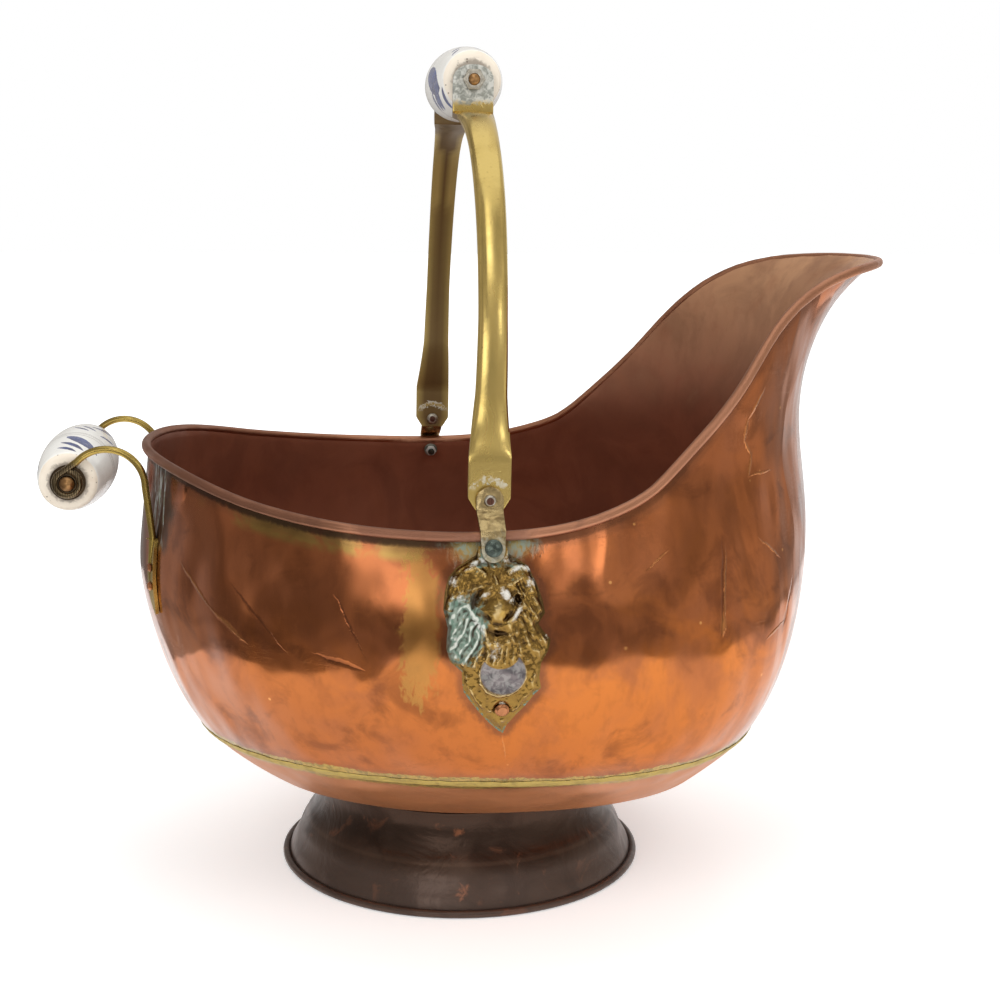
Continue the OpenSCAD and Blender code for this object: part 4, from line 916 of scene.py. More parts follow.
# The mask is laid out in millimetres across from 37.4 behind the middle and down from 7.4 above the side rim.
maskSettings = {
    "cornerX": -37.36, "cornerZ": 206.47, "top": 11.5, "tip": 94.4, "columns": 132, "rows": 230,
    "thickness": 1.0, "gap": 0.1,
    "earX": 34.76, "earHalf": 7.2, "earEnd": 20.5, "seat": 1.5, "rivet": (38.5, 82.4),
    "rearEdge": [
        (28.5, 11.5), (27.5, 15), (24, 17), (19, 20), (15.3, 24), (13.6, 30), (12.8, 37.5), (14.7, 45.6),
        (14.2, 50), (14, 54.4), (15.6, 60), (20.6, 64.4), (21, 70), (21.6, 73.8), (25, 78.8), (29, 84),
        (33, 88.8), (37.5, 93), (39.4, 94.4)],
    "frontEdge": [
        (40.5, 11.5), (42, 15), (45.5, 17), (50, 20), (52, 24), (54, 28), (56.2, 35), (57, 40), (54, 44.4),
        (56, 47.5), (59.3, 51.2), (58.8, 54), (58, 56.3), (55, 61.3), (54.3, 67.5), (55.2, 72.5), (52.5, 75),
        (48.8, 80), (44.5, 85), (40.9, 90), (39.7, 94.4)],
    # across, down, half width and half height of the head's swelling and of the sickle's two rounds
    "head": (35.5, 38, 15, 20), "moonOuter": (38.4, 65.2, 10.2, 9.8), "moonInner": (37.4, 57.2, 7.8, 6.2),
    # lumps: across, down, half width, half height, turn in degrees, relief
    "lumps": [
        (35.8, 37.8, 4.0, 3.6, 0, 5.2), (35.4, 30, 3.0, 5.5, 0, 2.0), (27.5, 23.5, 6.0, 3.4, 25, 2.4),
        (44.5, 24.5, 5.4, 3.2, -25, 2.2),
        (31, 31.5, 2.6, 1.9, -15, 1.7), (39.6, 31.6, 2.7, 2.0, 30, 1.9), (32.6, 42.6, 2.8, 2.0, 20, 1.3),
        (39.6, 42.8, 2.8, 2.0, -20, 1.3),
        (36.4, 52.2, 3.6, 2.4, 0, 1.2), (20, 26, 2.4, 3.4, 20, 1.2), (51, 27.5, 2.2, 3.4, -20, 1.3),
        (26.6, 33.5, 1.9, 3.2, 25, -2.0), (45.4, 33.8, 1.9, 3.0, -25, -1.8), (31.8, 41.8, 3.2, 1.1, 30, -1.2),
        (39.8, 41.6, 2.9, 1.1, -30, -1.1), (36.2, 43.4, 3.0, 0.8, 0, -0.9), (36.8, 47.9, 4.0, 1.2, 8, -1.5),
    ],
    # locks of the mane and the folds of the face: half width, relief, points
    "locks": [
        (1.0, 1.7, [(31.5, 19.5), (28, 17.3), (23.5, 18), (19, 21.5)]),
        (1.0, 1.4, [(30.5, 23), (26.5, 20.5), (22.5, 21.5)]),
        (1.1, 1.9, [(41, 23), (44.5, 20.5), (48, 20.6), (51.5, 22.5)]),
        (0.9, 1.3, [(43, 27.3), (47.5, 25), (52, 27.5), (53.4, 31)]),
        (1.3, 2.6, [(23, 35.6), (25, 40), (28.7, 43.8), (31.2, 48.7), (32.5, 52)]),
        (1.4, 2.4, [(47.4, 36.2), (45, 38.8), (41.8, 43.7), (40.6, 48)]),
        (0.9, 1.2, [(35.3, 17), (35.6, 22), (35.8, 27)]), (0.8, 1.0, [(25.5, 29), (29, 27.8), (33, 29.2)]),
        (0.8, 1.2, [(38, 29), (42, 27.9), (45.4, 30)]),
        (1.0, 1.5, [(20.6, 30), (16.3, 33.7), (14.4, 37.5)]),
        (1.0, 1.6, [(22.5, 35), (18, 38.7), (15.3, 43)]),
        (1.0, 1.6, [(23.7, 38.7), (20, 43), (16.9, 47.5), (16.2, 49.3)]),
        (1.0, 1.6, [(24.4, 40.6), (21.9, 46.2), (18.1, 52.5), (15.4, 55)]),
        (1.0, 1.6, [(25.6, 43.7), (23.7, 49.3), (20.6, 55), (18.1, 58)]),
        (1.0, 1.6, [(27.5, 45), (26.9, 50), (24.4, 55.6), (21.2, 60.6)]),
        (1.0, 1.6, [(29.4, 47.5), (29.3, 52.5), (27.5, 56.9), (26.2, 61.9)]),
        (0.9, 1.4, [(32, 51.2), (31.9, 56.2), (30.6, 60.6)]),
        (0.9, 1.3, [(35, 52.5), (34.4, 57.5), (33.7, 61.2)]),
        (0.9, 1.2, [(37.6, 53.6), (36.8, 58), (35.2, 61.6)]),
        (1.0, 1.4, [(50, 32.5), (53.1, 35), (55.2, 37.8)]),
        (1.0, 1.4, [(48, 37.5), (51.9, 40), (53.6, 42.5)]),
        (1.1, 1.3, [(46.9, 40), (50, 43.7), (52.5, 48.7), (56.8, 51.9)]),
        (1.1, 1.3, [(45, 42.5), (48.1, 48.1), (50, 53.7), (53.1, 56.2)]),
        (1.0, 1.2, [(43.1, 45), (45, 50), (46.2, 56.2), (48.7, 60)]),
        (1.0, 1.2, [(41.2, 48.7), (43.1, 53.1), (43.1, 58.7)]),
        (0.9, 1.2, [(40, 51.9), (40, 56.2), (38.7, 60)]),
        (0.8, 1.1, [(44.5, 30.5), (48.5, 31.8), (51.5, 30.8)]), (0.8, 1.1, [(17.3, 25.5), (15.6, 29.4)]),
        (0.8, 1.0, [(53.4, 28), (54.8, 32)]),
        (0.8, 0.8, [(22.5, 66), (23.5, 71.5), (27.5, 77.5), (33, 82.5)]),
        (0.8, 0.8, [(53, 63), (51.5, 68.5), (52, 71.8), (47.5, 77.2), (43.5, 82)]),
    ],
    # pale patches: pale crust, with painted highlights such as the one on the nose; across, down, half width,
    # half height, turn in degrees, strength
    "paleSpots": [
        (30.6, 32.0, 3.4, 1.8, -20, 0.7), (35.4, 36.4, 1.1, 1.1, 0, 0.55), (39.6, 32.0, 3.8, 2.2, 40, 1.1),
        (27.5, 44, 6.5, 1.3, 55, 0.9), (44.3, 39.5, 5.5, 1.2, -60, 0.85), (34.5, 55.5, 3.6, 4.4, 10, 0.7),
        (25.5, 19.5, 5, 1.1, -35, 0.8), (30.5, 17.6, 3.4, 1.1, 25, 0.8), (44.5, 21.6, 3.6, 1.2, -30, 0.9),
        (49.6, 21.4, 3.6, 1.4, 15, 1.0), (50, 26.5, 1.6, 3.6, 25, 0.8), (20.5, 33, 3, 2.2, 20, 0.7),
        (18, 52, 2.2, 5, 0, 0.55), (17.5, 26, 2.2, 2.6, 0, 0.75), (51.5, 27, 1.8, 3.2, 10, 0.8),
        (41, 17.5, 3, 3, 0, 0.6), (38.3, 79.6, 1.6, 1.6, 0, 0.9), (57.5, 49, 1.6, 3.6, 20, 0.5),
    ],
    "moonLip": [
        (29.6, 61.8), (28.2, 65), (28.6, 69.2), (31.5, 73.2), (36, 75.2), (40.8, 74.8), (45.2, 72),
        (48, 67.8), (48.2, 63.6), (46.6, 60.4), (44.6, 60)],
}


def maskEdges(down):
    rear = numpy.interp(
        down, [point[1] for point in maskSettings["rearEdge"]],
        [point[0] for point in maskSettings["rearEdge"]])
    front = numpy.interp(
        down, [point[1] for point in maskSettings["frontEdge"]],
        [point[0] for point in maskSettings["frontEdge"]])
    return rear, front


def maskDistance(across, down):
    # distance from the mask's outline, negative inside it
    outline = maskSettings["rearEdge"] + maskSettings["frontEdge"][::-1]
    outline = outline + outline[:1]
    rear, front = maskEdges(down)
    within = (across > rear) & (across < front) & (down > maskSettings["top"]) & (down < maskSettings["tip"])
    distance = lineDistance(across, down, outline)
    return numpy.where(within, -distance, distance)


def paintBowlFields(piece):
    points, facing = verticesOf(piece), normalsOf(piece)
    rimDistance = distancesTo(["rim_wire"], points, 0.02)
    inward = (facing[:, 0] * points[:, 0] * 0.8 + facing[:, 1] * points[:, 1]) < 0
    lipUnder = (points[:, 0] > 0.16) & (facing[:, 2] < -0.2)
    inside = numpy.where(inward & ~lipUnder, 1.0, 0.0)
    outside = 1 - inside
    across, down = (
        points[:, 0] * 1000 - maskSettings["cornerX"], maskSettings["cornerZ"] - points[:, 2] * 1000)
    onSide = (numpy.abs(points[:, 1]) > 0.09) & (numpy.abs(points[:, 0]) < 0.07)
    halo = numpy.where(onSide, fade(maskDistance(across, down), *bowlSettings["haloReach"]), 0)
    soot = fade(rimDistance, *bowlSettings["sootReach"]) * outside
    bracketDistance = distancesTo(["rear_bracket_left", "rear_bracket_right"], points, 0.03)
    streaks = (
        fade(bracketDistance, *bowlSettings["streakReach"]) * (1 - fade(points[:, 2], 0.162, 0.205) * 0.9)
        * outside)
    floatAttribute(piece, "insideMask", inside)
    floatAttribute(piece, "haloField", halo * outside)
    floatAttribute(piece, "sootField", soot)
    floatAttribute(piece, "streakField", streaks)


def makeBowlWall():
    piece = copyOfNode("side_wall")
    editAll(piece)
    bpy.ops.mesh.tris_convert_to_quads(face_threshold=math.radians(60), shape_threshold=math.radians(80))
    objectMode()
    creaseLevel(piece, bowlSettings["seamHeight"])
    smoothed(piece, bowlSettings["levels"])
    # finer faces outside below the rim, where the stains are
    points = verticesOf(piece)
    least, most = bowlSettings["stained"]
    distances = distancesTo(["rim_wire"], points, most + 0.0005)
    focus(piece)
    pickVertices(piece, lambda co: False)
    objectMode()
    chosen = (distances > least) & (distances < most)
    for polygon in piece.data.polygons:
        outward = polygon.center.x * polygon.normal.x + polygon.center.y * polygon.normal.y > 0
        polygon.select = outward and all(chosen[index] for index in polygon.vertices)
    bpy.ops.object.mode_set(mode="EDIT")
    bpy.ops.mesh.select_mode(type="FACE")
    bpy.ops.mesh.subdivide(number_cuts=1)
    objectMode()
    # the roll's skin draws in under the bead that covers it
    surface = surfaceOf(nodes["rim_wire"])
    near, far = bowlSettings["skin"]
    fadeFrom, fadeTo = bowlSettings["drawnFade"]
    for vertex in piece.data.vertices:
        found = surface.find_nearest(vertex.co, far * mm)
        if found[0] is not None and found[3] > near * mm:
            drawn = bowlSettings["drawn"] * mm * float(fade(found[3], fadeFrom * mm, fadeTo * mm))
            vertex.co += (found[0] - vertex.co).normalized() * drawn
    finishPiece(piece, "bowlWall", "scuttle", wallCopper, ("side_wall",), angle=50)
    paintBowlFields(piece)
    return piece


def makeBowlPan():
    piece = copyOfNode("bottom_pan")
    editAll(piece)
    bpy.ops.mesh.tris_convert_to_quads(face_threshold=math.radians(60), shape_threshold=math.radians(80))
    objectMode()
    creaseLevel(piece, bowlSettings["seamHeight"])
    smoothed(piece, bowlSettings["levels"])
    finishPiece(piece, "bowlPan", "scuttle", wallCopper, ("bottom_pan",), angle=50)
    points, facing = verticesOf(piece), normalsOf(piece)
    inward = (facing[:, 0] * points[:, 0] + facing[:, 1] * points[:, 1]) * 1000 < 0
    floatAttribute(piece, "insideMask", numpy.where(inward | (facing[:, 2] > 0.5), 1.0, 0.0))
    return piece


def makeRimBead():
    # the smooth outside of the rolled rim
    piece = copyOfNode("rim_wire")
    smoothed(piece, 1)
    applyModifier(piece, "DISPLACE", strength=bowlSettings["beadRise"] * mm, mid_level=0.0)
    finishPiece(piece, "rimBead", "scuttle", wallCopper, angle=80)
    floatAttribute(piece, "rimField", numpy.ones(len(piece.data.vertices)))
    return piece


makeRimBead()
bowlWall = makeBowlWall()
print("bowl wall:", len(bowlWall.data.polygons), "faces")
bowlPan = makeBowlPan()
print("bowl pan:", len(bowlPan.data.polygons), "faces")


# the lion masks

def blurred(field, rounds):
    for turn in range(rounds):
        padded = numpy.pad(field, 1, mode="edge")
        field = (padded[:-2, 1:-1] + padded[2:, 1:-1] + padded[1:-1, :-2] + padded[1:-1, 2:] + 2 * field) / 6
    return field


def ripples(across, down, scale, seed):
    # a smooth wandering between -1 and 1
    value = numpy.zeros(numpy.shape(across))
    for turn, (stepAcross, stepDown, shift) in enumerate(
            ((1.0, 0.7, 0.3), (-0.8, 1.1, 1.7), (1.9, -1.3, 4.1), (0.5, 2.3, 2.9), (-2.6, 0.9, 5.3))):
        value = value + numpy.sin(
            (across * stepAcross + down * stepDown) / scale + shift * seed + turn) / (1 + 0.5 * turn)
    return value / 3


def turnedRound(across, down, midAcross, midDown, turn):
    # along and aside of a place that is turned by some degrees
    turn = math.radians(turn)
    along = (across - midAcross) * math.cos(turn) + (down - midDown) * math.sin(turn)
    aside = -(across - midAcross) * math.sin(turn) + (down - midDown) * math.cos(turn)
    return along, aside


def maskRelief(across, down):
    settings = maskSettings
    edge = -maskDistance(across, down)
    straightAcross, straightDown = across, down
    inner = 1 - fade(edge, 0.5, 4.0)
    across = straightAcross + inner * 1.0 * ripples(straightAcross, straightDown, 2.6, 1.0)
    down = straightDown + inner * 1.0 * ripples(straightAcross, straightDown, 2.9, 2.3)
    rise = 1 - fade(edge, 0.7, 3.4)
    headAcross, headDown, headHalf, headTall = settings["head"]
    head = numpy.exp(-((across - headAcross) / headHalf) ** 2 - ((down - headDown) / headTall) ** 2)
    relief = rise * (0.7 + 2.4 * head)
    detail = numpy.zeros(numpy.shape(across))
    for midAcross, midDown, halfAcross, halfDown, turn, height in settings["lumps"]:
        along, aside = turnedRound(across, down, midAcross, midDown, turn)
        detail = detail + height * numpy.exp(-(along / halfAcross) ** 2 - (aside / halfDown) ** 2)
    crest = numpy.zeros(numpy.shape(across))
    for halfWidth, height, points in settings["locks"]:
        crest = numpy.maximum(
            crest, height * numpy.exp(-(lineDistance(across, down, points) / halfWidth) ** 2))
    strands = (
        numpy.sin(across * 3.3 + down * 1.5 * numpy.sign(36 - across) + 3.2 * ripples(across, down, 3.1, 3.1))
        * (1 - fade(numpy.abs(across - 36), 5, 10)) * fade(numpy.abs(down - 43), 13, 21))
    detail = (
        detail + crest * (0.7 + 0.5 * ripples(across, down, 1.2, 0.7))
        + 0.3 * strands * (0.6 + 0.8 * ripples(across, down, 5.0, 4.2))
        + 0.34 * ripples(across, down, 0.75, 1.9))
    across, down = straightAcross, straightDown
    moonOuter, moonInner = (
        numpy.hypot((across - midAcross) / halfAcross, (down - midDown) / halfDown)
        for midAcross, midDown, halfAcross, halfDown in (settings["moonOuter"], settings["moonInner"]))
    moon = fade(moonOuter, 0.93, 1.0) * (1 - fade(moonInner, 0.95, 1.03)) * (down > 58.5)
    lip = 0.9 * numpy.exp(-(lineDistance(across, down, settings["moonLip"]) / 0.7) ** 2)
    detail = detail * (1 - moon) + lip - 0.5 * moon
    relief = relief + detail * (1 - fade(edge, 0.3, 2.0))
    fromRivet = numpy.hypot(across - settings["rivet"][0], down - settings["rivet"][1])
    relief = relief * (1 - fade(fromRivet, 3.2, 5.2))
    underEar = (
        fade(numpy.abs(across - settings["earX"]), settings["earHalf"] - 1, settings["earHalf"])
        * fade(down, settings["earEnd"] - 2, settings["earEnd"]))
    relief = relief * (1 - underEar) + settings["seat"] * underEar
    return numpy.maximum(relief, 0), moon


def wallAt(surface, x, z, side):
    # the wall's outer skin at a place on its side, bridged where a screw or rivet hole goes through
    hits = []
    for shift in (0, 3.2 * mm, -3.2 * mm):
        found, normal, face, distance = surface.ray_cast(
            Vector((x + shift, side * 0.4, z)), Vector((0, -side, 0)))
        if found is not None and found.y * side > 0.05:
            hits.append((found, normal))
        if shift == 0 and hits:
            break
    found = sum((hit[0] for hit in hits), Vector()) / len(hits)
    normal = sum((hit[1] for hit in hits), Vector()).normalized()
    return found, normal


def makeMask(name, side, nodeName):
    settings = maskSettings
    columns, rows = settings["columns"], settings["rows"]
    deselectAll()
    bpy.ops.mesh.primitive_grid_add(x_subdivisions=columns, y_subdivisions=rows, size=2)
    piece = bpy.context.object
    points = verticesOf(piece)
    share, down = (points[:, 0] + 1) / 2, settings["top"] + (1 - points[:, 1]) / 2 * (
        settings["tip"] - settings["top"])
    rear, front = maskEdges(down)
    across = rear + (front - rear) * share
    relief, moon = maskRelief(across, down)
    surface = surfaceOf(bowlWall)
    room = 3.2 * mm
    knee = cadBox[1][1] - 0.15 * mm - room
    for index, vertex in enumerate(piece.data.vertices):
        x, z = (across[index] + settings["cornerX"]) * mm, (settings["cornerZ"] - down[index]) * mm
        found, normal = wallAt(surface, x, z, side)
        place = found + normal * (relief[index] + settings["gap"] + settings["thickness"]) * mm
        past = abs(place.y) - knee
        if past > 0:
            place.y = side * (knee + room * (1 - math.exp(-past / room)))
        vertex.co = place
    shape = (rows + 1, columns + 1)
    field = relief.reshape(shape)
    # fine ridges and grooves, for dark patina deepened by painted shade in the grooves and painted highlights
    # on the crests
    ridge = field - blurred(field, 24)
    floatAttribute(piece, "fineRidgeShadingField", numpy.clip(0.5 + ridge.ravel() / 1.6, 0, 1))
    # broad hollows and swellings, for painted shade in the hollows and painted highlights on the swellings
    hollow = field - blurred(field, 220)
    floatAttribute(piece, "broadFormShadingField", numpy.clip(0.5 - hollow.ravel() / 3.0, 0, 1))
    floatAttribute(piece, "moonField", moon)
    edge = -maskDistance(across, down)
    mane = fade(numpy.hypot((across - 21) / 12, (down - 46) / 19), 0.3, 1.25)
    topStain = fade(down, 14, 30) * 0.5
    rim = fade(edge, 0.4, 1.6) * 0.45 * (down > 56)
    floatAttribute(piece, "verdigrisField", numpy.maximum(numpy.maximum(mane, topStain), rim))
    # pale crust and painted highlights
    pale = numpy.zeros(numpy.shape(across))
    for midAcross, midDown, halfAcross, halfDown, turn, strength in settings["paleSpots"]:
        along, aside = turnedRound(across, down, midAcross, midDown, turn)
        pale = numpy.maximum(
            pale, strength * numpy.exp(-0.8 * (along / halfAcross) ** 2 - 0.8 * (aside / halfDown) ** 2))
    floatAttribute(piece, "paleCrustAndHighlightField", pale)
    editAll(piece)
    bpy.ops.mesh.normals_make_consistent(inside=False)
    objectMode()
    if piece.data.polygons[len(piece.data.polygons) // 2].normal.y * side < 0:
        editAll(piece)
        bpy.ops.mesh.flip_normals()
        objectMode()
    applyModifier(piece, "SOLIDIFY", thickness=settings["thickness"] * mm, offset=-1)
    return finishPiece(piece, name, "scuttle", maskMetal, (nodeName,), angle=60)


maskColours = {
    "olive": paint(150, 118, 60), "brass": paint(206, 170, 92), "bronze": paint(112, 84, 48),
    "groove": paint(66, 50, 34), "crest": paint(226, 206, 160), "verdigris": paint(148, 166, 154),
    "teal": paint(106, 140, 126),
    "verdigrisCrest": paint(222, 230, 220), "verdigrisGroove": paint(54, 62, 50),
    "moon": paint(128, 118, 118), "moonDark": paint(84, 78, 80), "pale": paint(226, 224, 216),
}


def makeMaskMetal():
    colours = maskColours
    material, tree, shader = newMaterial("pressedMaskBrass")
    place = objectPlace(tree)
    ridge = attributeOf(tree, "fineRidgeShadingField")
    field = attributeOf(tree, "verdigrisField")
    moon = attributeOf(tree, "moonField")
    clouds = cloudy(place, 130.0, 1.0, 0.4, 0.6)
    blots = cloudy(placed(place, move=(4, 1, 6)), 260.0, 1.0, 0.42, 0.6)
    fine = cloudy(placed(place, move=(2, 5, 1)), 700.0, 0.7, 0.42, 0.66)
    shaken = field + wandering(clouds, 1.5)
    shaken = shaken + wandering(blots, 1.2)
    green = ranged(shaken, 0.38, 0.72)
    # fine grooves darker and fine crests paler: dark patina in the grooves deepened as painted shade, and
    # painted highlights along the crests
    groove = ranged(ridge + wandering(blots, 0.1), 0.42, 0.18)
    crest = ranged(ridge + wandering(blots, 0.3), 0.58, 0.84)
    # broad swellings lighter brass: a painted highlight, with rubbed wear
    worn = ranged(attributeOf(tree, "broadFormShadingField"), 0.44, 0.1)
    brass = mixed(worn * 0.55, colours["olive"], colours["brass"])
    brass = mixed(clouds["Mask"] * 0.35, brass, colours["bronze"])
    brass = mixed(groove * 0.75, brass, colours["groove"])
    brass = mixed(crest * 0.4, brass, colours["crest"])
    crust = mixed(blots["Mask"], colours["verdigris"], colours["teal"])
    crust = mixed(fine["Mask"] * 0.35, crust, colours["verdigrisGroove"])
    # the crust likewise: painted shade in its grooves and painted highlights on its crests
    crust = mixed(groove * 0.95, crust, colours["verdigrisGroove"])
    crust = mixed(crest * 0.9, crust, colours["verdigrisCrest"])
    colour = mixed(green * 0.9, brass, crust)
    # broad hollows darker: painted shade, as in corners, with grime there
    hollow = ranged(attributeOf(tree, "broadFormShadingField"), 0.52, 0.8)
    colour = mixed(hollow * 0.75, colour, colours["groove"])
    # pale patches: pale crust, with painted highlights such as the one on the nose
    paleShaken = attributeOf(tree, "paleCrustAndHighlightField") + wandering(blots, 1.3)
    paleShaken = paleShaken + wandering(fine, 1.2)
    pale = ranged(paleShaken, 0.4, 0.95) * (1.0 - groove * 0.8)
    colour = mixed(pale * 0.85, colour, colours["pale"])
    moonColour = mixed(clouds["Mask"], colours["moon"], colours["moonDark"])
    moonColour = mixed(blots["Mask"] * 0.22, moonColour, colours["pale"])
    colour = mixed(moon, colour, moonColour)
    feed(shader.inputs["Base Color"], colour)
    crusted = larger(green, moon, pale)
    feed(shader.inputs["Metallic"], 1.0 - crusted * 0.75)
    feed(shader.inputs["Roughness"], 0.24 + crusted * 0.25)
    bumped(shader, fine["Height"] * 0.2 + crusted * 0.4, 0.0004)
    return material


maskMetal = makeMaskMetal()
maskRight = makeMask("lionMaskRight", -1, "mask_right")
makeMask("lionMaskLeft", 1, "mask_left")
print("lion masks:", len(maskRight.data.polygons), "faces each")


# the seam, foot and small fittings

seamSettings = {
    "ragged": 0.0026, "grain": 0.006, "lumps": 0.0002, "lift": 0.6, "least": 0.00006, "reach": 0.003}


def makeSeam():
    piece = copyOfNode("brazed_seam")
    editAll(piece)
    bpy.ops.mesh.subdivide(number_cuts=3)
    objectMode()
    skins = [surfaceOf(bowlWall), surfaceOf(bowlPan)]
    nearest = [
        min((skin.find_nearest(vertex.co) for skin in skins), key=lambda hit: hit[3])
        for vertex in piece.data.vertices]
    before = [vertex.co.copy() for vertex in piece.data.vertices]
    dented(piece, seamSettings["grain"], seamSettings["ragged"], "Z")
    # the ragged edges wander along the sheet and stay laid on it
    for vertex, hit, place in zip(piece.data.vertices, nearest, before):
        normal = hit[1]
        lift = max((place - hit[0]).dot(normal) * seamSettings["lift"], seamSettings["least"])
        along = (Vector((0, 0, 1)) - normal * normal.z).normalized()
        above = hit[0] + along * (vertex.co.z - place.z) + normal * seamSettings["reach"]
        struck = [
            found for found in (skin.ray_cast(above, -normal, 2 * seamSettings["reach"]) for skin in skins)
            if found[0] is not None]
        vertex.co = (min(struck, key=lambda found: found[3])[0] if struck else hit[0]) + normal * lift
    dented(piece, seamSettings["grain"] * 0.7, seamSettings["lumps"], "NORMAL")
    return finishPiece(piece, "brazeLine", "scuttle", brazeMetal, ("brazed_seam",), angle=80)


def smoothCopy(nodeName, name, body, material, angle=35):
    return finishPiece(copyOfNode(nodeName), name, body, material, (nodeName,), angle=angle)


makeSeam()
smoothCopy("foot_ring", "spunFoot", "scuttle", footCopper, 40)
# node, name, body, slot, finish, and how far its edges are softened, in millimetres
fittingPieces = [
    ("ear_left", "earLeft", "scuttle", "ear_brass", earBrass, 0.35),
    ("ear_right", "earRight", "scuttle", "ear_brass", earBrass, 0.35),
    ("ear_screws", "earScrews", "scuttle", "screw", screwGreen, 0.2),
    ("ear_washers", "earWashers", "scuttle", "zinc", washerGrey, 0.2),
    ("ear_nuts", "earNuts", "scuttle", "zinc", zinc, 0.25),
    ("pivot_rivets", "pivotRivets", "scuttle", "rivet_copper", pivotCopper, 0.3),
    ("mask_rivets", "maskRivets", "scuttle", "rivet_copper", rivetCopper, 0.3),
    ("rear_rivets", "rearRivets", "scuttle", "rivet_copper", rivetCopper, 0.3),
    ("rear_washers", "rearWashers", "scuttle", "dark_brass", darkBrass, 0.25),
    ("rear_cap_nuts", "rearCapNuts", "scuttle", "bronze", bronze, 0.2),
    ("bail_washers", "bailWashers", "bail", "dark_brass", darkBrass, 0.25),
    ("bail_nuts", "bailNuts", "bail", "bronze", paleNut, 0.3),
    ("bail_rod", "bailRod", "bail", "bronze", bronze, 0.15),
]
small = {}
for nodeName, name, body, slotName, material, width in fittingPieces:
    small[name] = softenedNode(nodeName, name, body, material, width * mm)

domeSettings = {
    "radius": 2.75, "inset": 1.3, "flattened": 0.46, "height": 0.398616, "grain": 0.002, "dents": 0.00025}


def makeRodDomes():
    # the bail rod's ends, rounded over with the hammer
    for side in (-1, 1):
        low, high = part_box("bail_rod")
        deselectAll()
        bpy.ops.mesh.primitive_uv_sphere_add(
            segments=32, ring_count=16, radius=domeSettings["radius"] * mm,
            location=(0, side * (high[1] - domeSettings["inset"] * mm), domeSettings["height"]))
        dome = bpy.context.object
        dome.scale = (1, domeSettings["flattened"], 1)
        bpy.ops.object.transform_apply(location=True, rotation=True, scale=True)
        dented(dome, domeSettings["grain"], domeSettings["dents"], "NORMAL")
        finishPiece(dome, "rodDomeRight" if side < 0 else "rodDomeLeft", "bail", bronze, angle=80)


def widened(piece, share):
    # stretched or drawn in round its own middle
    points = verticesOf(piece)
    middleX, middleZ = (
        (points[:, 0].min() + points[:, 0].max()) / 2, (points[:, 2].min() + points[:, 2].max()) / 2)
    for vertex in piece.data.vertices:
        vertex.co.x = middleX + (vertex.co.x - middleX) * share
        vertex.co.z = middleZ + (vertex.co.z - middleZ) * share


for name, share in (("bailNuts", 1.22), ("bailWashers", 0.66), ("earNuts", 0.7), ("earWashers", 0.76)):
    widened(small[name], share)
makeRodDomes()
print("seam, foot and fittings ready")


# the bail's arms

armSettings = {
    "earX": -2.6, "pivotZ": 213.616, "lean": 0.8, "plate": 2.6, "armY": 132.83, "shoulderY": 125.8,
    "shoulderLow": 261.616, "shoulderRise": 120.0,
    "tabY": 44.9, "rodZ": 398.616, "tabHalf": 9.6, "tabRise": 7.0, "halfWidth": 6.6, "crown": 4.4,
    "edge": 1.6, "bow": 1.6,
    # the foot's outline, as height and share of its half width
    "paddle": [
        (0, 0.62), (0.4, 0.66), (2.7, 0.82), (5.0, 0.975), (5.8, 1.0), (9, 1.0), (15, 1.0), (20.5, 1.0),
        (23.3, 1.0)],
    "paddleHalf": 9.4, "paddleLow": 209.016, "paddleTop": 232.616, "pivotHole": 3.3, "rodHole": 2.26,
    # the brown band of the inner face, partly tarnish and partly painted shade, as height and share of the
    # half width
    "brownHalf": [
        (0.2, 0.6), (0.25, 0.55), (0.335, 0.5), (0.349, 0.2), (0.36, 0.12), (0.366, 0.35), (0.379, 1.15),
        (0.42, 1.3)],
    # the arm's half width by share of its length
    "widths": [
        (0, 1.42), (0.08, 1.28), (0.2, 1.08), (0.35, 0.98), (0.5, 1.0), (0.75, 1.06), (0.84, 1.13),
        (0.92, 1.26), (1, 1.46)],
}


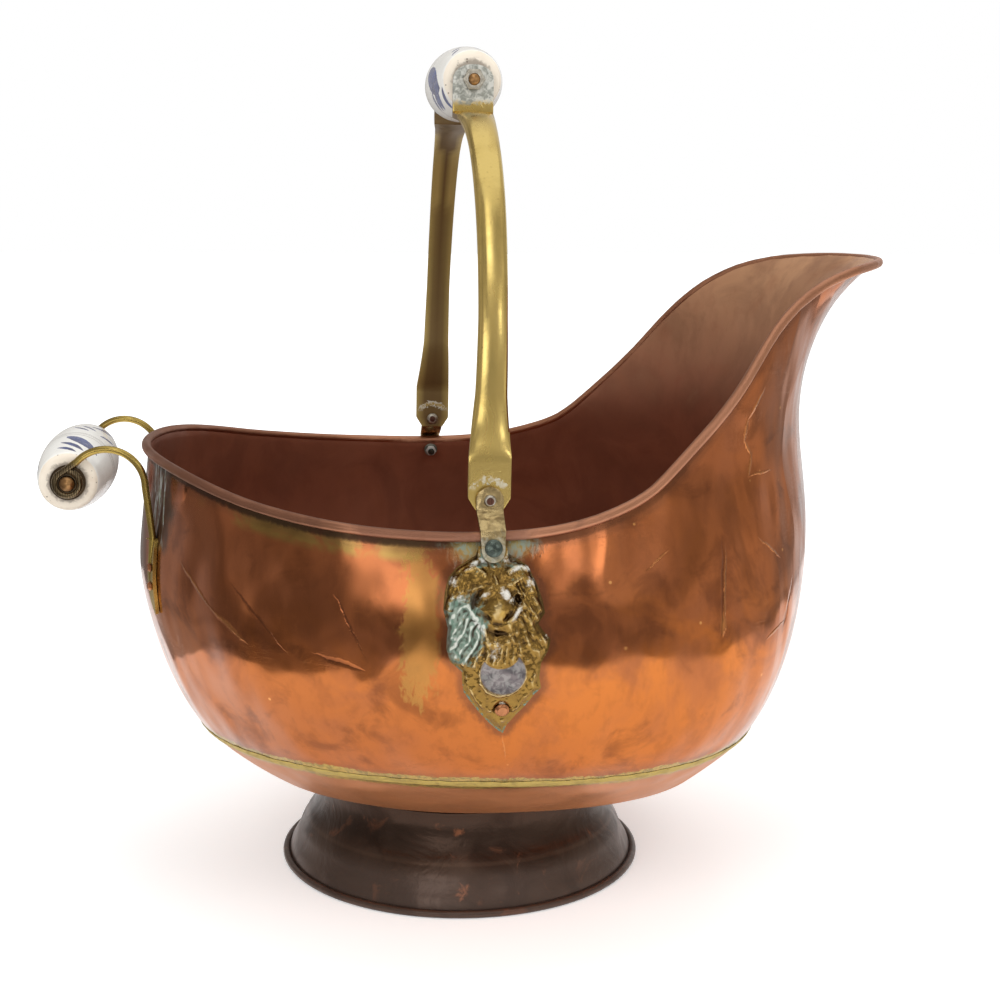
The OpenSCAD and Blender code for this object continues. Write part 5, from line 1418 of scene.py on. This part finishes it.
def armStations():
    # each station: place as (y, z), half width, crown, edge and shift of the middle
    settings = armSettings
    plate, stations = settings["plate"], []
    low, top, half = settings["paddleLow"], settings["paddleTop"], settings["paddleHalf"]
    for rise, share in settings["paddle"]:
        stations.append((settings["armY"], low + rise, half * share, plate, plate, 0.0))
    widthShares = [point[0] for point in settings["widths"]]
    widthValues = [point[1] for point in settings["widths"]]
    steps = 52
    for step in range(1, steps + 1):
        share = step / steps
        straight = 0.22
        if share <= straight:
            part = share / straight
            y = settings["armY"] + (settings["shoulderY"] - settings["armY"]) * part * (2 - part)
            z = top + (settings["shoulderLow"] - top) * part
        else:
            turn = math.radians(90 * (share - straight) / (1 - straight))
            y = settings["tabY"] + (settings["shoulderY"] - settings["tabY"]) * math.cos(turn)
            z = settings["shoulderLow"] + settings["shoulderRise"] * math.sin(turn)
        rounded = min(1, 7 * share)
        endFlat = min(1, (1 - share) * 9)
        edge = plate + (settings["edge"] - plate) * rounded * endFlat
        crown = plate + (settings["crown"] - plate) * (0.3 + 0.7 * rounded) * (0.35 + 0.65 * endFlat)
        width = settings["halfWidth"] * float(numpy.interp(share, widthShares, widthValues))
        if share < 0.97:
            stations.append((y, z, width, crown, edge, settings["bow"] * math.sin(math.pi * share)))
    stations.append(
        (settings["tabY"] + 0.3, settings["shoulderLow"] + settings["shoulderRise"] + 0.4,
         settings["tabHalf"], plate, plate, 0.0))
    tabHalf = settings["tabHalf"]
    for rise in (2.0, 6.0, 11.0, 16.8):
        stations.append(
            (settings["tabY"], settings["shoulderLow"] + settings["shoulderRise"] + rise, tabHalf, plate,
             plate, 0.0))
    for turn in (15, 30, 45, 58, 70, 80, 87):
        stations.append(
            (settings["tabY"], settings["rodZ"] + settings["tabRise"] * math.sin(math.radians(turn)),
             tabHalf * math.cos(math.radians(turn)) ** 0.9, plate, plate, 0.0))
    return stations


def makeArm(name, side, nodeName):
    settings = armSettings
    inner = [(1, 0), (0.5, 0), (0, 0), (-0.5, 0), (-1, 0)]
    outer = [
        (-1, 1), (-0.88, 0.5), (-0.7, 0.2), (-0.45, 0.06), (-0.2, 0.01), (0, 0), (0.2, 0.01), (0.45, 0.06),
        (0.7, 0.2), (0.88, 0.5), (1, 1)]
    count = len(inner) + len(outer)
    stations = armStations()
    deselectAll()
    bpy.ops.mesh.primitive_circle_add(vertices=count, radius=1, fill_type="NGON")
    piece = bpy.context.object
    editAll(piece)
    for step in range(len(stations) - 1):
        bpy.ops.mesh.extrude_region_move(TRANSFORM_OT_translate={"value": (0, 0, 1)})
    objectMode()
    order = {}
    for vertex in piece.data.vertices:
        order.setdefault(round(vertex.co.z), []).append(vertex)
    lean = Matrix.Rotation(math.radians(settings["lean"]), 3, "Y")
    plate = settings["plate"]
    for level, ring in order.items():
        ring.sort(key=lambda vertex: math.atan2(vertex.co.x, vertex.co.y))
        y, z, half, crown, edge, bow = stations[level]
        before, after = stations[max(level - 1, 0)], stations[min(level + 1, len(stations) - 1)]
        along = Vector((after[0] - before[0], after[1] - before[1])).normalized()
        out = Vector((along[1], -along[0]))
        for vertex, corner in zip(ring, inner + outer):
            height = 0.0
            if ring.index(vertex) >= len(inner):
                height = crown - (crown - edge) * corner[1]
            elif crown > plate:
                height = -0.5 * (1 - corner[0] ** 2) * min(1, (crown - plate) / 1.2)
            height -= settings["plate"] / 2
            place = Vector(
                (corner[0] * half + bow, y + height * out[0], z + height * out[1] - settings["pivotZ"]))
            place = lean @ place
            vertex.co = Vector(
                (place.x + settings["earX"], place.y * side, place.z + settings["pivotZ"])) * mm
    outwardNormals(piece)
    for holeZ, holeY, radius in (
            (settings["pivotZ"], settings["armY"], settings["pivotHole"]),
            (settings["rodZ"], settings["tabY"], settings["rodHole"])):
        middle = lean @ Vector((0, holeY, holeZ - settings["pivotZ"]))
        deselectAll()
        bpy.ops.mesh.primitive_cylinder_add(
            vertices=32, radius=radius * mm, depth=8 * mm, rotation=(math.pi / 2, 0, 0),
            location=(
                (middle.x + settings["earX"]) * mm, middle.y * side * mm,
                (middle.z + settings["pivotZ"]) * mm))
        drill = bpy.context.object
        applyModifier(piece, "BOOLEAN", object=drill, operation="DIFFERENCE", solver="EXACT")
        bpy.data.objects.remove(drill)
    applyModifier(
        piece, "BEVEL", width=0.55 * mm, segments=3, limit_method="ANGLE", angle_limit=math.radians(48),
        use_clamp_overlap=True)
    finishPiece(piece, name, "bail", armBrass, (nodeName,), angle=42)
    # a brown band down the middle of the inner face, wider under the grip: partly tarnish, partly painted
    # shade for the face's shape and the grip above it
    points, facing = verticesOf(piece), normalsOf(piece)
    heights = numpy.array([station[1] for station in stations])
    middles = numpy.array(
        [station[5] + settings["earX"]
         + math.tan(math.radians(settings["lean"])) * (station[1] - settings["pivotZ"])
         for station in stations])
    halves = numpy.array([station[2] for station in stations])
    aside = (
        numpy.abs(points[:, 0] * 1000 - numpy.interp(points[:, 2] * 1000, heights, middles))
        / numpy.interp(points[:, 2] * 1000, heights, halves))
    brownHalf = numpy.interp(points[:, 2], *zip(*settings["brownHalf"]))
    inner = (facing[:, 1] * side < 0.2) & (facing[:, 2] < 0.2)
    floatAttribute(piece, "innerField", numpy.where(inner, 1.0, 0.0))
    floatAttribute(piece, "brownBandAndShadeField", numpy.where(inner, fade(aside - brownHalf, -0.1, 0.16), 0))
    return piece


armRight = makeArm("bailArmRight", -1, "arm_right")
makeArm("bailArmLeft", 1, "arm_left")
print("bail arms:", len(armRight.data.polygons), "faces each")


# the porcelain grips

def makeGrip(name, body, nodeName, material, settings):
    # the profile runs from the bore over the rounded end and the barrel to the other end, in along and radius
    half, radius, endRadius, bore = settings["half"], settings["radius"], settings[
        "endRadius"], settings["bore"]
    rise = radius - endRadius
    arc = (half ** 2 + rise ** 2) / (2 * rise)
    profile = [
        (half - 0.9, bore), (half - 0.25, bore + 0.5), (half - 0.05, bore + 1.6), (half, 7.5),
        (half - 0.15, settings["faceRadius"] - 0.9), (half - 0.55, settings["faceRadius"] + 0.1),
        (half - 1.3, endRadius - 0.25)]
    steps = 16
    for step in range(1, steps):
        along = (half - 2.2) * (1 - step / steps)
        profile.append((along, radius - arc + math.sqrt(arc ** 2 - along ** 2)))
    profile.insert(7, (half - 2.2, radius - arc + math.sqrt(arc ** 2 - (half - 2.2) ** 2)))
    profile.append((0, radius))
    profile = profile + [(-along, wide) for along, wide in profile[-2::-1]]
    x, z = settings["centre"]
    points = [Vector((x, along * mm, z + wide * mm)) for along, wide in profile]
    piece = turnedPiece(name, points, (0, 1, 0), (x, 0, z), 96)
    smoothed(piece, 1)
    return finishPiece(piece, name, body, material, (nodeName,), angle=60)


makeGrip("bailGripPorcelain", "bail_grip", "bail_grip", bailPorcelain, gripSettings["bailGrip"])
makeGrip("rearGripPorcelain", "rear_grip", "rear_grip", rearPorcelain, gripSettings["rearGrip"])
print("porcelain grips ready")


# the rear brackets

bracketSettings = {
    "start": -0.3, "strapLevels": (178, 172, 166, 160, 154), "rivetsAside": 3.6, "strapOff": 1.9,
    "eye": (-192.7, 210.0), "loop": 5.65, "wire": 1.72, "wireY": 53.3, "arch": (-174.7, 208.0),
    "archRadius": 18.0, "strapTop": 184.0, "cut": 183.0,
}


def makeBracket(name, side, nodeName):
    settings = bracketSettings
    eyeX, eyeZ = settings["eye"]
    archX, archZ = settings["arch"]
    path = []
    for turn in range(92, -231, -9):
        angle = math.radians(turn)
        path.append((eyeX + settings["loop"] * math.cos(angle), eyeZ + settings["loop"] * math.sin(angle)))
    for turn in range(138, -1, -6):
        angle = math.radians(turn)
        path.append(
            (archX + settings["archRadius"] * math.cos(angle),
             archZ + settings["archRadius"] * math.sin(angle)))
    low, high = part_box(nodeName)
    legX = path[-1][0]
    surface = surfaceOf(bowlWall)
    found, normal, face, distance = surface.ray_cast(
        Vector((settings["start"], side * settings["wireY"] * mm, settings["strapTop"] * mm)),
        Vector((1, 0, 0)))
    footX = found.x * 1000 - settings["wire"] - 0.25
    for share in (0.15, 0.35, 0.55, 0.75, 0.9, 1.0):
        path.append((legX + (footX - legX) * share, archZ + (settings["strapTop"] - archZ) * share))
    flattened = len(path)
    for level in settings["strapLevels"]:
        # measured on both sides of the strap's rivet holes
        hits = [
            surface.ray_cast(
                Vector((settings["start"], side * (settings["wireY"] + aside) * mm, level * mm)),
                Vector((1, 0, 0)))[0]
            for aside in (-settings["rivetsAside"], settings["rivetsAside"])]
        path.append((sum(hit.x for hit in hits) * 500 - settings["strapOff"], level))
    data = bpy.data.curves.new(name, "CURVE")
    data.dimensions = "3D"
    data.bevel_depth = settings["wire"] * mm
    data.bevel_resolution = 5
    data.use_fill_caps = True
    spline = data.splines.new("POLY")
    spline.points.add(len(path) - 1)
    for point, (x, z) in zip(spline.points, path):
        point.co = (x * mm, side * settings["wireY"] * mm, z * mm, 1)
    for index in range(flattened, len(path)):
        spline.points[index].radius = 1 - 0.16 * (index - flattened + 1)
    spline.points[0].radius = 0.7
    wire = bpy.data.objects.new(name, data)
    bpy.context.scene.collection.objects.link(wire)
    focus(wire)
    bpy.ops.object.convert(target="MESH")
    wire = bpy.context.object
    strap = copyOfNode(nodeName)
    editAll(strap)
    bpy.ops.mesh.bisect(
        plane_co=(0, 0, settings["cut"] * mm), plane_no=(0, 0, 1), clear_outer=True, use_fill=True)
    objectMode()
    topVertices = [vertex for vertex in strap.data.vertices if vertex.co.z > (settings["cut"] - 0.3) * mm]
    middleX = sum(vertex.co.x for vertex in topVertices) / len(topVertices)
    for vertex in topVertices:
        vertex.co.y = side * settings["wireY"] * mm + (vertex.co.y - side * settings["wireY"] * mm) * 0.4
        vertex.co.x = middleX + (vertex.co.x - middleX) * 1.7 - 0.4 * mm
    focus(wire)
    strap.select_set(True)
    bpy.context.view_layer.objects.active = wire
    bpy.ops.object.join()
    piece = bpy.context.object
    return finishPiece(piece, name, "scuttle", wireBrass, (nodeName,), angle=45)


# the disc's outline, in millimetres outwards along the rod and out from it
eyeDiscOutline = [
    (-1.3, 2.3), (1.1, 2.3), (1.5, 2.9), (1.1, 3.5), (1.5, 4.1), (1.0, 4.7), (0.9, 5.4), (-1.3, 5.4)]


def makeEyeDisc(name, side):
    # the beaten rings between the wire's eye and the rod's domed end
    settings = bracketSettings
    x, z = settings["eye"]
    middle = settings["wireY"]
    points = [
        Vector((x * mm, side * (middle + along) * mm, (z + wide) * mm)) for along, wide in eyeDiscOutline]
    piece = turnedPiece(name, points, (0, 1, 0), (x * mm, 0, z * mm), 64)
    applyModifier(
        piece, "BEVEL", width=0.12 * mm, segments=2, limit_method="ANGLE", angle_limit=math.radians(30))
    return finishPiece(piece, name, "scuttle", eyeBrass, angle=45)


makeBracket("rearBracketRight", -1, "rear_bracket_right")
makeBracket("rearBracketLeft", 1, "rear_bracket_left")
makeEyeDisc("eyeDiscRight", -1)
makeEyeDisc("eyeDiscLeft", 1)
print("rear brackets ready")


# studio: camera, floor, room and lamps

studioSettings = {
    "eye": (-0.0967, -0.8594, 0.3493), "turn": -7.75, "tilt": 10.18, "roll": -0.44, "lens": 61.02,
    # the room's dull and light parts behind the rear, and the same towards the lip
    "rearDull": (0.24, 0.226, 0.213, 1), "rearLight": (0.5, 0.475, 0.45, 1),
    "lipDull": (0.38, 0.365, 0.34, 1), "lipLight": (0.74, 0.705, 0.655, 1),
    "roomRadius": 0.85, "roomHeight": 1.5, "roomX": 0.22, "roomFloor": 0.33,
    # windows: angle round the table, height of the middle, half width in degrees, half height, brightness
    "windows": [
        (-161, 0.12, 4, 0.07, 0.55), (-70, 0.5, 15, 0.14, 0.8), (-123, 0.33, 12, 0.1, 2.2),
        (-107, 1.22, 8, 0.5, 2.5), (-79, 0.53, 7, 0.07, 2.6)],
}


def makeCamera():
    turn, tilt, roll = (math.radians(studioSettings[key]) for key in ("turn", "tilt", "roll"))
    ahead = Vector((-math.sin(turn) * math.cos(tilt), math.cos(turn) * math.cos(tilt), -math.sin(tilt)))
    right = Vector((math.cos(turn), math.sin(turn), 0))
    down = ahead.cross(right)
    rightRolled = math.cos(roll) * right + math.sin(roll) * down
    downRolled = math.cos(roll) * down - math.sin(roll) * right
    data = bpy.data.cameras.new("studioCamera")
    data.lens = studioSettings["lens"]
    data.sensor_width = 36
    data.clip_start = 0.01
    data.clip_end = 50
    camera = bpy.data.objects.new("studioCamera", data)
    bpy.context.scene.collection.objects.link(camera)
    camera.matrix_world = Matrix.Translation(studioSettings["eye"]) @ Matrix(
        (rightRolled, -downRolled, -ahead)).transposed().to_4x4()
    bpy.context.scene.camera = camera


def seenByRays(tree, names):
    rays = put(tree, "LightPath")
    return larger(*[rays[name] for name in names])


def makeFloor():
    deselectAll()
    bpy.ops.mesh.primitive_plane_add(size=16, location=(0, 0, -0.0002))
    floor = bpy.context.object
    floor.name = "studioFloor"
    material, tree, shader = newMaterial("paleFloor", 0.0, 0.9)
    grain = put(tree, "TexNoise", {"Vector": objectPlace(tree), "Scale": 900.0, "Detail": 2.0})[0]
    feed(shader.inputs["Base Color"], mixed(grain, (0.93, 0.93, 0.93, 1), (0.96, 0.96, 0.96, 1)))
    shader.inputs["Specular IOR Level"].default_value = 0.0
    shader.inputs["Emission Color"].default_value = (1, 1, 1, 1)
    distance = put(tree, "VectorMath", {0: objectPlace(tree)}, operation="LENGTH")["Value"]
    lift = (
        seenByRays(tree, ["Is Camera Ray", "Is Glossy Ray", "Is Transmission Ray"])
        * ranged(distance, 0.45, 1.6, 0.3, 0.7))
    feed(shader.inputs["Emission Strength"], lift)
    floor.data.materials.append(material)


def makeRoom():
    # a dim room round the table with bright windows, which only the metal's reflections see; on the left its
    # floor comes near
    radius, height, middleX = (
        studioSettings["roomRadius"], studioSettings["roomHeight"], studioSettings["roomX"])
    deselectAll()
    bpy.ops.mesh.primitive_cylinder_add(
        vertices=96, radius=radius, depth=height, end_fill_type="NOTHING", location=(middleX, 0, height / 2))
    bpy.ops.object.transform_apply(location=True, rotation=True, scale=True)
    room = bpy.context.object
    room.name = "studioRoom"
    editAll(room)
    pickVertices(room, lambda co: co.z < 0.001)
    bpy.ops.mesh.extrude_region_move()
    objectMode()
    for vertex in room.data.vertices:
        if vertex.co.z < 0.001 and vertex.select:
            side = math.degrees(math.atan2(vertex.co.y, vertex.co.x))
            near = float(fade(abs((side + 170 + 180) % 360 - 180), 38, 80))
            reach = studioSettings["roomFloor"] * near + (radius - 0.04) * (1 - near)
            away = math.hypot(vertex.co.x, vertex.co.y)
            vertex.co = (vertex.co.x * reach / away, vertex.co.y * reach / away, 0.0006)
    material, tree, shader = newMaterial("dimRoomWall", 0.0, 1.0)
    place = objectPlace(tree)
    spots = partsOf(place)
    fromMiddle = spots["X"] - middleX
    around = figured("ARCTAN2", spots["Y"], fromMiddle) * (180 / math.pi)
    mottled = put(tree, "TexNoise", {"Vector": place, "Scale": 2.6, "Detail": 2.0})[0]
    back = ranged(spots["Y"], 0.45 * radius, 0.9 * radius) * ranged(fromMiddle, -0.1, 0.3)
    mottling = ranged(mottled, 0.38, 0.62)
    colour = mixed(mottling, studioSettings["rearDull"], studioSettings["rearLight"])
    lit = ranged(fromMiddle, 0.2 * radius, 0.75 * radius)
    colour = mixed(lit, colour, mixed(mottling, studioSettings["lipDull"], studioSettings["lipLight"]))
    for middle, level, halfWidth, halfHeight, strength in studioSettings["windows"]:
        width = ranged(abs(around - middle), halfWidth * 0.6, halfWidth * 1.4, 1.0, 0.0)
        rise = ranged(abs(spots["Z"] - level), halfHeight * 0.6, halfHeight * 1.4, 1.0, 0.0)
        colour = mixed(width * rise, colour, (strength, strength, strength, 1))
    colour = mixed(back, colour, (0.9, 0.9, 0.9, 1))
    feed(shader.inputs["Emission Color"], colour)
    shader.inputs["Base Color"].default_value = (0, 0, 0, 1)
    shader.inputs["Specular IOR Level"].default_value = 0.0
    shader.inputs["Emission Strength"].default_value = 1.0
    room.data.materials.append(material)
    room.visible_camera = False
    room.visible_diffuse = False
    room.visible_shadow = False


def makeWorld():
    world = bpy.data.worlds.new("studioWorld")
    bpy.context.scene.world = world
    world.use_nodes = True
    tree = world.node_tree
    background = tree.nodes["Background"]
    background.inputs["Color"].default_value = (1, 1, 1, 1)
    seen = seenByRays(tree, ["Is Camera Ray", "Is Glossy Ray", "Is Transmission Ray"])
    feed(background.inputs["Strength"], ranged(seen, 0.0, 1.0, 0.7, 1.0))


lampSettings = [
    # name, direction round and above in degrees, distance, width, height and watts
    ("softboxLeft", -130, 35.0, 2.2, 1.0, 1.0, 11.0),
    ("softboxRight", -50, 40.0, 2.2, 1.0, 1.0, 11.0),
    ("softboxAbove", 80, 75.0, 2.0, 1.6, 1.6, 9.0),
]


def makeLamps():
    target = Vector((0, -0.05, 0.18))
    for name, around, above, distance, width, height, watts in lampSettings:
        around, above = math.radians(around), math.radians(above)
        direction = Vector(
            (math.cos(around) * math.cos(above), math.sin(around) * math.cos(above), math.sin(above)))
        data = bpy.data.lights.new(name, "AREA")
        data.shape = "RECTANGLE"
        data.size = width
        data.size_y = height
        data.energy = watts
        lamp = bpy.data.objects.new(name, data)
        bpy.context.scene.collection.objects.link(lamp)
        lamp.location = target + direction * distance
        lamp.rotation_mode = "QUATERNION"
        lamp.rotation_quaternion = (-direction).to_track_quat("-Z", "Y")
        lamp.visible_glossy = False
        lamp.visible_camera = False


makeCamera()
makeFloor()
makeRoom()
makeWorld()
makeLamps()
print("studio ready")
